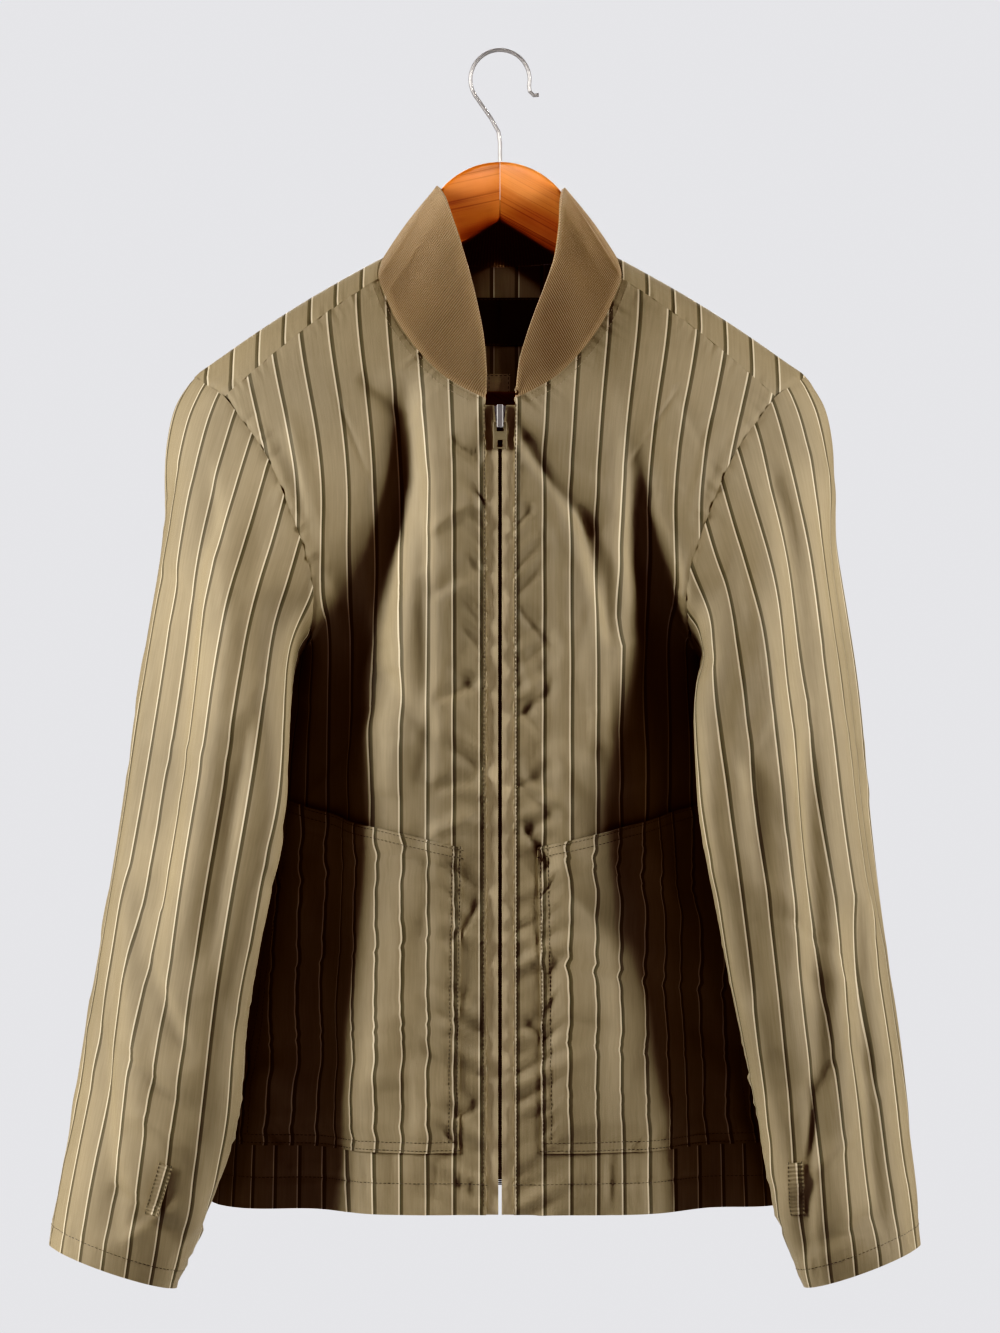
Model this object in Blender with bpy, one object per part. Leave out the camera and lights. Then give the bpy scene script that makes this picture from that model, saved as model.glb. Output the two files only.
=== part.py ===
"""A zipped bomber jacket of striped cloth on a flat wooden hanger.

Metres, +Z up, the front faces -Y, and right and left are the wearer's. The origin is the top of
the inside of the hook, where a rail carries it. Each panel is a grid of points worked out from
short tables: `out` is the distance from the centre line, to either side. Panels that share a seam
share its points and its mitre, and stop SEAM_GAP apart.
"""

import math
from collections import defaultdict, namedtuple

import bmesh
import bpy
import numpy as np
from mathutils import Matrix

# Driving sizes
CLOTH = 0.0016  # wall of one layer of cloth
RIB = 0.0024  # wall of the knitted collar
SEAM_GAP = 0.0003  # between two pieces at a seam
LABEL = 0.0010  # a woven label
LAY_GAP = 0.0007  # between a patch and the panel that it lies on
HEM_Z = -0.826
PLACKET = 0.0097  # from the centre line to a front's edge
SIDES = {"right": -1.0, "left": 1.0}

COLUMNS = 13  # across a front, and across half of the back
NECK_FRONT_ROWS, NECK_BACK_ROWS = 8, 9
ARM_FRONT_ROWS, ARM_BACK_ROWS = 10, 14
SIDE_ROWS = 16
CAP_ROWS, ARM_ROWS = 5, 13

# Seams and edges, each from its first to its last point
Spot = namedtuple("Spot", "out y z")
NECK_FRONT = [
    Spot(0.0870, -0.020, -0.1650),
    Spot(0.0760, -0.037, -0.1930),
    Spot(0.0565, -0.056, -0.2220),
    Spot(0.0350, -0.073, -0.2430),
    Spot(0.0105, -0.086, -0.2565),
]
NECK_BACK = [
    Spot(0.087, -0.020, -0.165),
    Spot(0.084, 0.002, -0.148),
    Spot(0.067, 0.030, -0.146),
    Spot(0.036, 0.047, -0.148),
    Spot(0.000, 0.052, -0.150),
]
ARMHOLE_FRONT = [
    Spot(0.197, -0.032, -0.251),
    Spot(0.178, -0.047, -0.276),
    Spot(0.163, -0.060, -0.298),
    Spot(0.153, -0.069, -0.321),
    Spot(0.142, -0.076, -0.349),
    Spot(0.132, -0.079, -0.379),
    Spot(0.131, -0.071, -0.404),
    Spot(0.136, -0.044, -0.427),
    Spot(0.147, 0.004, -0.439),
]
ARMHOLE_BACK = [
    Spot(0.197, -0.032, -0.251),
    Spot(0.212, -0.016, -0.241),
    Spot(0.222, 0.004, -0.2345),
    Spot(0.216, 0.024, -0.247),
    Spot(0.199, 0.040, -0.277),
    Spot(0.186, 0.050, -0.312),
    Spot(0.177, 0.053, -0.352),
    Spot(0.169, 0.047, -0.396),
    Spot(0.159, 0.028, -0.428),
    Spot(0.147, 0.004, -0.439),
]
SIDE_SEAM = [
    Spot(0.147, 0.004, -0.439),
    Spot(0.157, 0.009, -0.480),
    Spot(0.170, 0.010, -0.570),
    Spot(0.188, 0.008, -0.680),
    Spot(0.209, 0.004, -0.828),
]
CENTRE_FRONT = [
    Spot(0.0105, -0.086, -0.2565),
    Spot(0.0100, -0.089, -0.3300),
    Spot(PLACKET, -0.092, -0.4300),
    Spot(PLACKET, -0.095, -0.6000),
    Spot(PLACKET, -0.094, HEM_Z),
]
CENTRE_BACK = [
    Spot(0.0, 0.052, -0.150),
    Spot(0.0, 0.062, -0.210),
    Spot(0.0, 0.070, -0.330),
    Spot(0.0, 0.073, -0.480),
    Spot(0.0, 0.070, -0.660),
    Spot(0.0, 0.066, HEM_Z + 0.003),
]

# How a panel's row runs from its inner to its outer end: `wrap` turns a straight row into a
# rounded one, `corner` squares it, `bow` swells its middle, `crown` lifts it, and `drop` makes it
# fall early, as under an armhole.
RowShape = namedtuple("RowShape", "at wrap corner bow crown drop")
FRONT_ROWS = [
    RowShape(0.00, 0.0, 2.4, 0.003, 0.004, 1.0),
    RowShape(0.16, 0.2, 2.4, 0.005, 0.001, 1.0),
    RowShape(0.28, 0.8, 2.5, 0.005, 0.000, 1.3),
    RowShape(0.385, 1.0, 2.6, 0.003, 0.000, 3.4),
    RowShape(0.60, 1.0, 2.4, 0.000, 0.000, 2.0),
    RowShape(1.00, 1.0, 2.4, 0.000, 0.000, 1.0),
]
BACK_ROWS = [
    RowShape(0.00, 0.0, 2.4, -0.003, 0.004, 1.0),
    RowShape(0.06, 0.0, 2.4, 0.000, 0.004, 1.0),
    RowShape(0.16, 0.1, 2.4, 0.008, 0.004, 1.0),
    RowShape(0.32, 0.5, 2.4, 0.009, 0.000, 1.2),
    RowShape(0.467, 1.0, 2.5, 0.003, 0.000, 2.6),
    RowShape(0.70, 1.0, 2.4, 0.000, 0.000, 1.6),
    RowShape(1.00, 1.0, 2.3, 0.000, 0.000, 1.0),
]

# Rings of each sleeve: the centre, the half axes, the turn of the long one from straight out
# towards the back, and how steeply the ring rises outwards.
Ring = namedtuple("Ring", "at out y z long short turn tilt")
SLEEVES = {
    "right": [
        Ring(0.00, 0.1970, -0.036, -0.425, 0.070, 0.036, 58, 1.25),
        Ring(0.16, 0.2045, -0.046, -0.495, 0.074, 0.035, 50, 0.85),
        Ring(0.40, 0.2185, -0.052, -0.585, 0.072, 0.037, 48, 0.46),
        Ring(0.59, 0.2325, -0.056, -0.675, 0.068, 0.040, 44, 0.26),
        Ring(0.77, 0.2435, -0.060, -0.757, 0.067, 0.042, 36, 0.16),
        Ring(0.89, 0.2590, -0.062, -0.817, 0.058, 0.038, 28, 0.18),
        Ring(1.00, 0.2730, -0.062, -0.866, 0.047, 0.032, 18, 0.31),
    ],
    "left": [
        Ring(0.00, 0.1900, -0.044, -0.425, 0.078, 0.035, 54, 1.15),
        Ring(0.16, 0.1975, -0.054, -0.495, 0.080, 0.034, 48, 0.78),
        Ring(0.40, 0.2090, -0.055, -0.585, 0.074, 0.037, 46, 0.44),
        Ring(0.59, 0.2220, -0.058, -0.675, 0.067, 0.040, 44, 0.28),
        Ring(0.77, 0.2335, -0.062, -0.757, 0.059, 0.041, 38, 0.16),
        Ring(0.89, 0.2430, -0.064, -0.817, 0.053, 0.037, 30, 0.16),
        Ring(1.00, 0.2550, -0.064, -0.8655, 0.043, 0.031, 18, 0.34),
    ],
}
SHOULDER_ANGLE, UNDERARM_ANGLE = 15.0, 222.0  # on a ring, from straight out, through the front
CAP_LEAVES = (0.68, -0.73)  # out and down, at the shoulder
UNDER_LEAVES = (0.73, -0.68)  # out and down, at the underarm
CAP_REACH = 0.33
SLEEVE_SEAM_FRONT, SLEEVE_SEAM_BACK = 8, 15  # ring columns of the two long seams

# The collar's free edge, from the zip to the middle of the back
COLLAR_EDGE = {
    "right": [
        Spot(0.0100, -0.0852, -0.2525),
        Spot(0.0108, -0.0770, -0.2210),
        Spot(0.0170, -0.0640, -0.1850),
        Spot(0.0275, -0.0470, -0.1450),
        Spot(0.0430, -0.0220, -0.1010),
        Spot(0.0465, 0.0040, -0.0985),
        Spot(0.0390, 0.0270, -0.0990),
        Spot(0.0220, 0.0410, -0.1000),
        Spot(0.0000, 0.0450, -0.1010),
    ],
    "left": [
        Spot(0.0120, -0.0852, -0.2525),
        Spot(0.0140, -0.0780, -0.2290),
        Spot(0.0235, -0.0670, -0.1980),
        Spot(0.0400, -0.0490, -0.1500),
        Spot(0.0450, -0.0220, -0.1025),
        Spot(0.0475, 0.0040, -0.0995),
        Spot(0.0390, 0.0270, -0.0990),
        Spot(0.0220, 0.0410, -0.1000),
        Spot(0.0000, 0.0450, -0.1010),
    ],
}
COLLAR_ROWS = 5
COLLAR_CORNER_Y, COLLAR_CORNER_Z = -0.016, -0.120  # the spot above the shoulder seam, and the least z

# Soft folds that run down the cloth: the crest from its top to its foot, the side of the body that
# it is on, its half width, and its height, less than nothing for a trough.
Fold = namedtuple("Fold", "x0 z0 x1 z1 half height")
FRONT_FOLDS = [
    Fold(-0.118, -0.290, -0.140, -0.800, 0.016, -0.007),
    Fold(-0.092, -0.330, -0.104, -0.826, 0.014, 0.005),
    Fold(-0.062, -0.270, -0.052, -0.560, 0.011, -0.003),
    Fold(-0.044, -0.300, -0.036, -0.826, 0.012, 0.004),
    Fold(0.040, -0.290, 0.052, -0.826, 0.013, 0.004),
    Fold(0.078, -0.330, 0.088, -0.826, 0.014, -0.003),
    Fold(0.112, -0.290, 0.136, -0.800, 0.017, -0.008),
]
BACK_FOLDS = [
    Fold(-0.135, -0.330, -0.150, -0.820, 0.018, -0.007),
    Fold(-0.090, -0.300, -0.094, -0.820, 0.017, 0.005),
    Fold(-0.030, -0.380, -0.036, -0.820, 0.020, -0.004),
    Fold(0.034, -0.340, 0.044, -0.820, 0.020, 0.004),
    Fold(0.084, -0.300, 0.094, -0.820, 0.016, -0.004),
    Fold(0.130, -0.340, 0.146, -0.820, 0.018, 0.005),
]
FOLD_FADE = 0.05  # length over which a fold dies away at each end

# Patch pockets: the level of the mouth at its two ends, of the bottom, and the columns between
Pocket = namedtuple("Pocket", "mouth_in mouth_out bottom first last")
POCKET = Pocket(-0.570, -0.538, -0.783, 1, 10)
POCKET_ROWS = 12

# Patches on a sleeve or inside the back: x and z of the middle, size, and lean from upright
Patch = namedtuple("Patch", "x z wide tall lean")
VENTS = {
    "right": Patch(-0.2365, -0.8065, 0.009, 0.036, 17),
    "left": Patch(0.2060, -0.8065, 0.009, 0.036, -4),
}
NECK_LABEL = Patch(0.0, -0.1895, 0.070, 0.035, 0)
CARE_TAB = Patch(-0.001, -0.2375, 0.017, 0.020, 0)

# Zip
TAPE_IN, TAPE_OUT, TAPE = 0.0012, 0.0125, 0.0010
PARTED, PARTED_Z = 0.0044, -0.294  # a tape's inner edge at the top, and where the parting closes
CHAIN_HALF, CHAIN = 0.0024, 0.0016
ZIP_TOP, ZIP_FOOT = -0.2610, -0.8055
SLIDER_Z = -0.2690
SLIDER_WIDE, SLIDER_TALL, SLIDER_DEEP = 0.0100, 0.0150, 0.0020
NECK_WIDE, NECK_TALL = 0.0016, 0.0090  # the slider's neck, which joins its crown to its body
CROWN_WIDE, CROWN_TALL, CROWN_DEEP = 0.0046, 0.0165, 0.0034
EYE_WIDE, EYE_TALL, EYE_RISE = 0.0022, 0.0030, 0.0030  # the crown's eye, and its height in it
PIN_RADIUS = 0.0007
TAB_WIDE, TAB_TALL, TAB_THICK, TAB_RISE = 0.0094, 0.0190, 0.0014, 0.0011
SLOT_WIDE, SLOT_FOOT = 0.0056, -0.0055  # the tab's slot round the crown
RING_WIDE, RING_TALL, RING_FOOT = 0.0056, 0.0049, 0.0014  # the hole near the tab's foot

# Hanger
WOOD, WOOD_EDGE = 0.0130, 0.0030
CROWN_RADIUS, CROWN_TOP = 0.056, -0.080
HANGER_TOP = [(0.0500, -0.1130), (0.0590, -0.1290), (0.0720, -0.1490), (0.090, -0.1640), (0.142, -0.1900)]
HANGER_END = [(0.168, -0.2050), (0.190, -0.2195), (0.2040, -0.2320), (0.2070, -0.2450), (0.2020, -0.2590)]
HANGER_FOOT = [(0.1920, -0.2620), (0.1845, -0.2570), (0.1800, -0.2380), (0.150, -0.2120), (0.090, -0.1790)]
HANGER_NOTCH = -0.1225
BAR_RADIUS, BAR_Z, BAR_HALF = 0.0050, -0.2505, 0.1813
WIRE_RADIUS, HOOK_RADIUS = 0.0014, 0.0200
HOOK_START, HOOK_STOP = 212, -12  # the bowl's two ends, in degrees from +X
HOOK_STEM = [(0.0, -0.066), (-0.001, -0.058), (-0.0065, -0.048)]
HOOK_TIP = [(0.0215, -0.0285), (0.0245, -0.0315), (0.0280, -0.0310)]

FINISHES = {
    "cloth": ((0.250, 0.205, 0.130), 0.45, 0.0),
    "rib_knit": ((0.240, 0.180, 0.090), 0.85, 0.0),
    "tape": ((0.260, 0.220, 0.140), 0.70, 0.0),
    "label": ((0.012, 0.010, 0.010), 0.60, 0.0),
    "painted_metal": ((0.270, 0.230, 0.150), 0.40, 0.0),
    "steel": ((0.520, 0.510, 0.500), 0.30, 1.0),
    "wood": ((0.480, 0.160, 0.035), 0.35, 0.0),
}


# Curves and tables

def through(keys, values, at):
    """Values at `at` on a smooth curve through the keyed ones."""
    keys, values = np.asarray(keys, float), np.asarray(values, float)
    slopes = np.gradient(values, keys, axis=0)
    cell = np.clip(np.searchsorted(keys, at, side="right") - 1, 0, len(keys) - 2)
    span = keys[cell + 1] - keys[cell]
    t = np.clip((at - keys[cell]) / span, 0.0, 1.0)
    if values.ndim > 1:
        t, span = t[:, None], span[:, None]
    near = values[cell] * (1 + 2 * t) * (1 - t) ** 2 + values[cell + 1] * t * t * (3 - 2 * t)
    return near + span * (slopes[cell] * t * (1 - t) ** 2 - slopes[cell + 1] * t * t * (1 - t))


def even(points, steps):
    """steps + 1 points, evenly spaced along a polyline."""
    gaps = np.linalg.norm(np.diff(points, axis=0), axis=1)
    run = np.concatenate([[0.0], np.cumsum(gaps)])
    at = np.linspace(0.0, run[-1], steps + 1)
    return np.stack([np.interp(at, run, points[:, k]) for k in range(points.shape[1])], axis=1)


def curve(spots, steps, sign=1.0):
    """steps + 1 points, evenly spaced on a smooth curve through the spots of one side."""
    points = np.array([[sign * spot.out, spot.y, spot.z] for spot in spots])
    run = np.concatenate([[0.0], np.cumsum(np.linalg.norm(np.diff(points, axis=0), axis=1))])
    smooth = through(run, points, np.linspace(0.0, run[-1], 400))
    smooth[0], smooth[-1] = points[0], points[-1]
    return even(smooth, steps)


def column_of(table, field, at):
    return through([row.at for row in table], [getattr(row, field) for row in table], at)


# Panels of the body

def panel_row(inner, outer, wrap, corner, bow, crown, drop):
    """One row of a panel, from its inner to its outer end, rounded in plan like a torso."""
    turn = np.linspace(0.0, math.pi / 2, 240)
    along = np.sin(turn) ** (2.0 / corner)
    across = (1.0 - wrap) * along + wrap * (1.0 - np.cos(turn) ** (2.0 / corner))
    x = inner[0] + (outer[0] - inner[0]) * along
    y = inner[1] + (outer[1] - inner[1]) * across
    run = np.concatenate([[0.0], np.cumsum(np.hypot(np.diff(x), np.diff(y)))])
    run /= run[-1]
    fall = 1.0 - (1.0 - run) ** drop
    z = inner[2] + (outer[2] - inner[2]) * fall + crown * np.sin(math.pi * run)
    y = y + bow * np.sin(math.pi * run)
    return even(np.stack([x, y, z], axis=1), COLUMNS)


def panel(inner, outer, shapes, facing):
    """Rows from the shoulder seam to the hem; `facing` is -1 for a front and 1 for the back."""
    rows = []
    for number, (start, end) in enumerate(zip(inner, outer)):
        at = np.array([number / (len(inner) - 1)])
        wrap, corner, bow, crown, drop = (
            float(column_of(shapes, field, at)[0]) for field in RowShape._fields[1:]
        )
        rows.append(panel_row(start, end, min(max(wrap, 0.0), 1.0), corner, facing * bow, crown, drop))
    return np.array(rows)


def chained(first, second):
    return np.concatenate([first, second[1:]])


def body_panels(sign):
    side = curve(SIDE_SEAM, SIDE_ROWS, sign)
    armhole_front = curve(ARMHOLE_FRONT, ARM_FRONT_ROWS, sign)
    armhole_back = curve(ARMHOLE_BACK, ARM_BACK_ROWS, sign)
    front_rows = ARM_FRONT_ROWS + SIDE_ROWS - NECK_FRONT_ROWS
    back_rows = ARM_BACK_ROWS + SIDE_ROWS - NECK_BACK_ROWS
    front_in = chained(curve(NECK_FRONT, NECK_FRONT_ROWS, sign), curve(CENTRE_FRONT, front_rows, sign))
    back_in = chained(curve(NECK_BACK, NECK_BACK_ROWS, sign), curve(CENTRE_BACK, back_rows, sign))
    front = panel(front_in, chained(armhole_front, side), FRONT_ROWS, -1.0)
    back = panel(back_in, chained(armhole_back, side), BACK_ROWS, 1.0)
    return front, back


# Sleeves

def ring_points(sign, ring, angles):
    """Points round one ring; the angles run from straight out, through the front, and in."""
    turn = math.radians(-ring.turn)
    phase = np.radians(angles) - turn
    out = ring.long * np.cos(phase) * math.cos(turn) - ring.short * np.sin(phase) * math.sin(turn)
    front = ring.long * np.cos(phase) * math.sin(turn) + ring.short * np.sin(phase) * math.cos(turn)
    return np.stack([sign * (ring.out + out), ring.y - front, ring.z + ring.tilt * out], axis=1)


def sleeve_grid(name, sign):
    """Rings from the armhole to the cuff. The last column is the first again, at the shoulder seam."""
    front = curve(ARMHOLE_FRONT, ARM_FRONT_ROWS, sign)
    back = curve(ARMHOLE_BACK, ARM_BACK_ROWS, sign)
    armhole = np.concatenate([front, back[::-1][1:]])
    angles = np.concatenate([
        np.linspace(SHOULDER_ANGLE, UNDERARM_ANGLE, ARM_FRONT_ROWS + 1),
        np.linspace(UNDERARM_ANGLE, SHOULDER_ANGLE + 360.0, ARM_BACK_ROWS + 1)[1:],
    ])
    table = SLEEVES[name]
    rings = []
    for at in np.linspace(0.0, 1.0, ARM_ROWS + 1):
        fields = [float(column_of(table, field, np.array([at]))[0]) for field in Ring._fields[1:]]
        rings.append(ring_points(sign, Ring(at, *fields), angles))
    first, second = rings[0], rings[1]
    cap = cap_rows(sign, armhole, first, second, np.radians(angles))
    return np.array(cap + rings)


def cap_rows(sign, armhole, first, second, angles):
    """The rows of the cap: each column leaves the armhole on its own slant and runs into the sleeve."""
    under = 0.5 - 0.5 * np.cos(angles - math.radians(SHOULDER_ANGLE))
    out = CAP_LEAVES[0] * (1 - under) + UNDER_LEAVES[0] * under
    down = CAP_LEAVES[1] * (1 - under) + UNDER_LEAVES[1] * under
    leaves = np.stack([sign * out, np.zeros_like(out), down], axis=1)
    arrives = second - first
    arrives /= np.linalg.norm(arrives, axis=1)[:, None]
    reach = CAP_REACH * np.linalg.norm(first - armhole, axis=1)[:, None]
    pull, push = armhole + reach * leaves, first - reach * arrives
    rows = []
    for t in np.linspace(0.0, 1.0, CAP_ROWS + 1)[:-1]:
        rows.append(
            armhole * (1 - t) ** 3 + 3 * pull * t * (1 - t) ** 2 + 3 * push * t * t * (1 - t) + first * t ** 3
        )
    return rows


# Collar

def collar_grid(fronts, backs):
    """Rows from the neck seam to the free edge, from one end of the zip, round the back, to the other."""
    seams, edges = [], []
    for name, sign in SIDES.items():
        seam = chained(fronts[name][: NECK_FRONT_ROWS + 1, 0][::-1], backs[name][: NECK_BACK_ROWS + 1, 0])
        edge = curve(COLLAR_EDGE[name], 400, sign)
        share = np.linspace(0.0, 1.0, 401)
        corner = share[np.argmin(np.abs(edge[:, 1] - COLLAR_CORNER_Y) + (edge[:, 2] < COLLAR_CORNER_Z))]
        at = np.interp(
            np.arange(len(seam)), [0, NECK_FRONT_ROWS, len(seam) - 1], [0.0, corner, 1.0]
        )
        seams.append(seam)
        edges.append(np.stack([np.interp(at, share, edge[:, k]) for k in range(3)], axis=1))
    seam = chained(seams[0], seams[1][::-1])
    edge = chained(edges[0], edges[1][::-1])
    return np.array([seam + (edge - seam) * t for t in np.linspace(0.0, 1.0, COLLAR_ROWS + 1)])


# Folds, shared directions and walls

def key_of(point):
    return tuple(int(round(value * 1e6)) for value in point)


def shared_normals(grids, outward):
    """Unit directions out of the cloth, the same for every piece that has the point."""
    sums = defaultdict(lambda: np.zeros(3))
    for name, grid in grids.items():
        for r in range(grid.shape[0] - 1):
            for c in range(grid.shape[1] - 1):
                a, b, d, e = grid[r, c], grid[r, c + 1], grid[r + 1, c + 1], grid[r + 1, c]
                facing = outward[name] * np.cross(d - a, e - b)
                size = np.linalg.norm(facing)
                for point in (a, b, d, e):
                    sums[key_of(point)] += facing / max(size, 1e-12)
    found = {}
    for name, grid in grids.items():
        normals = np.array([[sums[key_of(point)] for point in row] for row in grid])
        found[name] = normals / np.linalg.norm(normals, axis=2)[:, :, None]
    return found


def folded(grid, normals, folds):
    """The grid with its soft vertical folds, moved along the normals and dying away at the seams."""
    moved = grid.copy()
    last_row, last_column = grid.shape[0] - 1, grid.shape[1] - 1
    from_top = np.clip(np.arange(last_row + 1) / 2.0, 0.0, 1.0)[:, None]
    from_side = np.clip((last_column - np.arange(last_column + 1)) / 2.0, 0.0, 1.0)[None, :]
    for fold in folds:
        z = grid[:, :, 2]
        share = np.clip((z - fold.z0) / (fold.z1 - fold.z0), 0.0, 1.0)
        crest = fold.x0 + (fold.x1 - fold.x0) * share
        across = np.exp(-((grid[:, :, 0] - crest) / fold.half) ** 2)
        start = np.clip((fold.z0 - z) / FOLD_FADE, 0.0, 1.0)
        end = np.clip((z - fold.z1 + 3 * FOLD_FADE) / (3 * FOLD_FADE), 0.4, 1.0)
        moved += normals * (fold.height * across * start * end * from_top * from_side)[:, :, None]
    return moved


def seam_inset(grid, normals, sides, gap):
    """The grid with its edges drawn back by `gap`, square to the seam's mitre."""
    moved = grid.copy()
    last_row, last_column = grid.shape[0] - 1, grid.shape[1] - 1
    edges = {
        "top": ([(0, c) for c in range(last_column + 1)], (1, 0)),
        "bottom": ([(last_row, c) for c in range(last_column + 1)], (-1, 0)),
        "first": ([(r, 0) for r in range(last_row + 1)], (0, 1)),
        "last": ([(r, last_column) for r in range(last_row + 1)], (0, -1)),
    }
    for side, limit in sides.items():
        line, step = edges[side]
        line = line[:limit] if limit else line
        for number, (r, c) in enumerate(line):
            before, after = line[max(number - 1, 0)], line[min(number + 1, len(line) - 1)]
            tangent = grid[after] - grid[before]
            tangent /= np.linalg.norm(tangent)
            normal = normals[r, c]
            inside = grid[r + step[0], c + step[1]] - grid[r, c]
            inside = inside - normal * inside.dot(normal)
            inside = inside - tangent * inside.dot(tangent)
            moved[r, c] += gap * inside / max(np.linalg.norm(inside), 1e-9)
    return moved


def wall(name, outer, inner, finish, open_first=0):
    """A closed sheet between two grids. From row `open_first` on, the first column has no edge."""
    mesh = bmesh.new()
    rows, columns = outer.shape[0], outer.shape[1]
    skins = []
    for grid in (outer, inner):
        skins.append([[mesh.verts.new(point) for point in row] for row in grid])
    for r in range(rows - 1):
        for c in range(columns - 1):
            for skin in skins:
                mesh.faces.new((skin[r][c], skin[r][c + 1], skin[r + 1][c + 1], skin[r + 1][c]))
    rim = [(0, c) for c in range(columns)] + [(r, columns - 1) for r in range(1, rows)]
    rim += [(rows - 1, c) for c in range(columns - 2, -1, -1)]
    rim += [(r, 0) for r in range(rows - 2, -1, -1)]
    for (r0, c0), (r1, c1) in zip(rim[:-1], rim[1:]):
        if open_first and c0 == c1 == 0 and min(r0, r1) >= open_first:
            continue
        mesh.faces.new((skins[0][r0][c0], skins[0][r1][c1], skins[1][r1][c1], skins[1][r0][c0]))
    return finished(name, mesh, finish)


def finished(name, mesh, finish):
    """Turns a bmesh into an object with its faces pointing out."""
    bmesh.ops.recalc_face_normals(mesh, faces=mesh.faces[:])
    data = bpy.data.meshes.new(name)
    mesh.to_mesh(data)
    mesh.free()
    return placed(name, data, finish)


def placed(name, data, finish):
    data.materials.clear()
    data.materials.append(MATERIALS[finish])
    data.shade_smooth()
    data.set_sharp_from_angle(angle=math.radians(35))
    made = bpy.data.objects.new(name, data)
    PARTS.objects.link(made)
    return made


def make_materials():
    made = {}
    for name, (colour, roughness, metallic) in FINISHES.items():
        material = bpy.data.materials.new(name)
        material.use_nodes = True
        shader = material.node_tree.nodes["Principled BSDF"]
        shader.inputs["Base Color"].default_value = (*colour, 1.0)
        shader.inputs["Roughness"].default_value = roughness
        shader.inputs["Metallic"].default_value = metallic
        material.diffuse_color = (*colour, 1.0)
        made[name] = material
    return made


# Patches that lie on a panel

def on_grid(grid, row, column):
    """The point at a fractional row and column of a grid."""
    r, c = min(int(row), grid.shape[0] - 2), min(int(column), grid.shape[1] - 2)
    u, v = row - r, column - c
    top = grid[r, c] * (1 - v) + grid[r, c + 1] * v
    low = grid[r + 1, c] * (1 - v) + grid[r + 1, c + 1] * v
    return top * (1 - u) + low * u


def locate(grid, x, z, facing):
    """The fractional row and column of the point that is seen at x and z from the front or the back."""
    best = None
    for r in range(grid.shape[0] - 1):
        for c in range(grid.shape[1] - 1):
            cell = grid[r:r + 2, c:c + 2].reshape(-1, 3)
            inside = cell[:, 0].min() <= x <= cell[:, 0].max() and cell[:, 2].min() <= z <= cell[:, 2].max()
            depth = facing * cell[:, 1].mean()
            if inside and (best is None or depth > best[0]):
                best = (depth, r, c)
    _, r, c = best
    u = v = 0.5
    for _ in range(20):
        here = on_grid(grid, r + u, c + v)
        down = grid[r + 1, c] * (1 - v) + grid[r + 1, c + 1] * v - grid[r, c] * (1 - v) - grid[r, c + 1] * v
        right = grid[r, c + 1] * (1 - u) + grid[r + 1, c + 1] * u - grid[r, c] * (1 - u) - grid[r + 1, c] * u
        step = np.linalg.solve([[down[0], right[0]], [down[2], right[2]]], [x - here[0], z - here[2]])
        u, v = u + step[0], v + step[1]
    return r + u, c + v


def surface_of(grid, normals, facing):
    """A function that gives the point and the normal seen at x and z."""
    def seen(x, z):
        row, column = locate(grid, x, z, facing)
        return on_grid(grid, row, column), on_grid(normals, row, column)
    return seen


def patch(name, spec, surface, near, thick, finish, rows, columns):
    """A thin rectangle of cloth, `near` from the panel's points along their normals."""
    lean = math.radians(spec.lean)
    outer, inner = [], []
    for v in np.linspace(0.5, -0.5, rows + 1):
        for u in np.linspace(-0.5, 0.5, columns + 1):
            across, up = u * spec.wide, v * spec.tall
            x = spec.x + across * math.cos(lean) + up * math.sin(lean)
            z = spec.z - across * math.sin(lean) + up * math.cos(lean)
            point, normal = surface(x, z)
            outer.append(point + normal * (near + thick))
            inner.append(point + normal * near)
    shape = (rows + 1, columns + 1, 3)
    return wall(name, np.array(outer).reshape(shape), np.array(inner).reshape(shape), finish)


def pocket(name, grid, normals):
    """A patch pocket: the front's own columns, cut at the mouth and at the bottom, moved out."""
    outer, inner = [], []
    columns = range(POCKET.first, POCKET.last + 1)
    for column in columns:
        share = (column - POCKET.first) / (POCKET.last - POCKET.first)
        mouth = POCKET.mouth_in + (POCKET.mouth_out - POCKET.mouth_in) * share
        levels = grid[:, column, 2][::-1]
        numbers = np.arange(grid.shape[0])[::-1]
        first, last = np.interp([mouth, POCKET.bottom], levels, numbers)
        for row in np.linspace(first, last, POCKET_ROWS + 1):
            point, normal = on_grid(grid, row, column), on_grid(normals, row, column)
            outer.append(point + normal * (LAY_GAP + CLOTH))
            inner.append(point + normal * LAY_GAP)
    shape = (len(columns), POCKET_ROWS + 1, 3)
    return wall(name, np.array(outer).reshape(shape), np.array(inner).reshape(shape), "cloth")


# Zip

def strip(name, depths, levels, first, last, thick):
    """A flat strip of tape down the centre front, between two edges."""
    outer = np.stack([
        np.stack([first, depths, levels], axis=1),
        np.stack([last, depths, levels], axis=1),
    ], axis=1)
    inner = outer + np.array([0.0, thick, 0.0])
    return wall(name, outer, inner, "tape")


def box(name, centre, size, finish, bevel=0.0):
    mesh = bmesh.new()
    bmesh.ops.create_cube(mesh, size=1.0)
    bmesh.ops.scale(mesh, vec=size, verts=mesh.verts[:])
    if bevel:
        bmesh.ops.bevel(mesh, geom=mesh.edges[:], offset=bevel, segments=2, affect="EDGES", profile=0.5)
    bmesh.ops.translate(mesh, vec=centre, verts=mesh.verts[:])
    return finished(name, mesh, finish)


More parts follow.
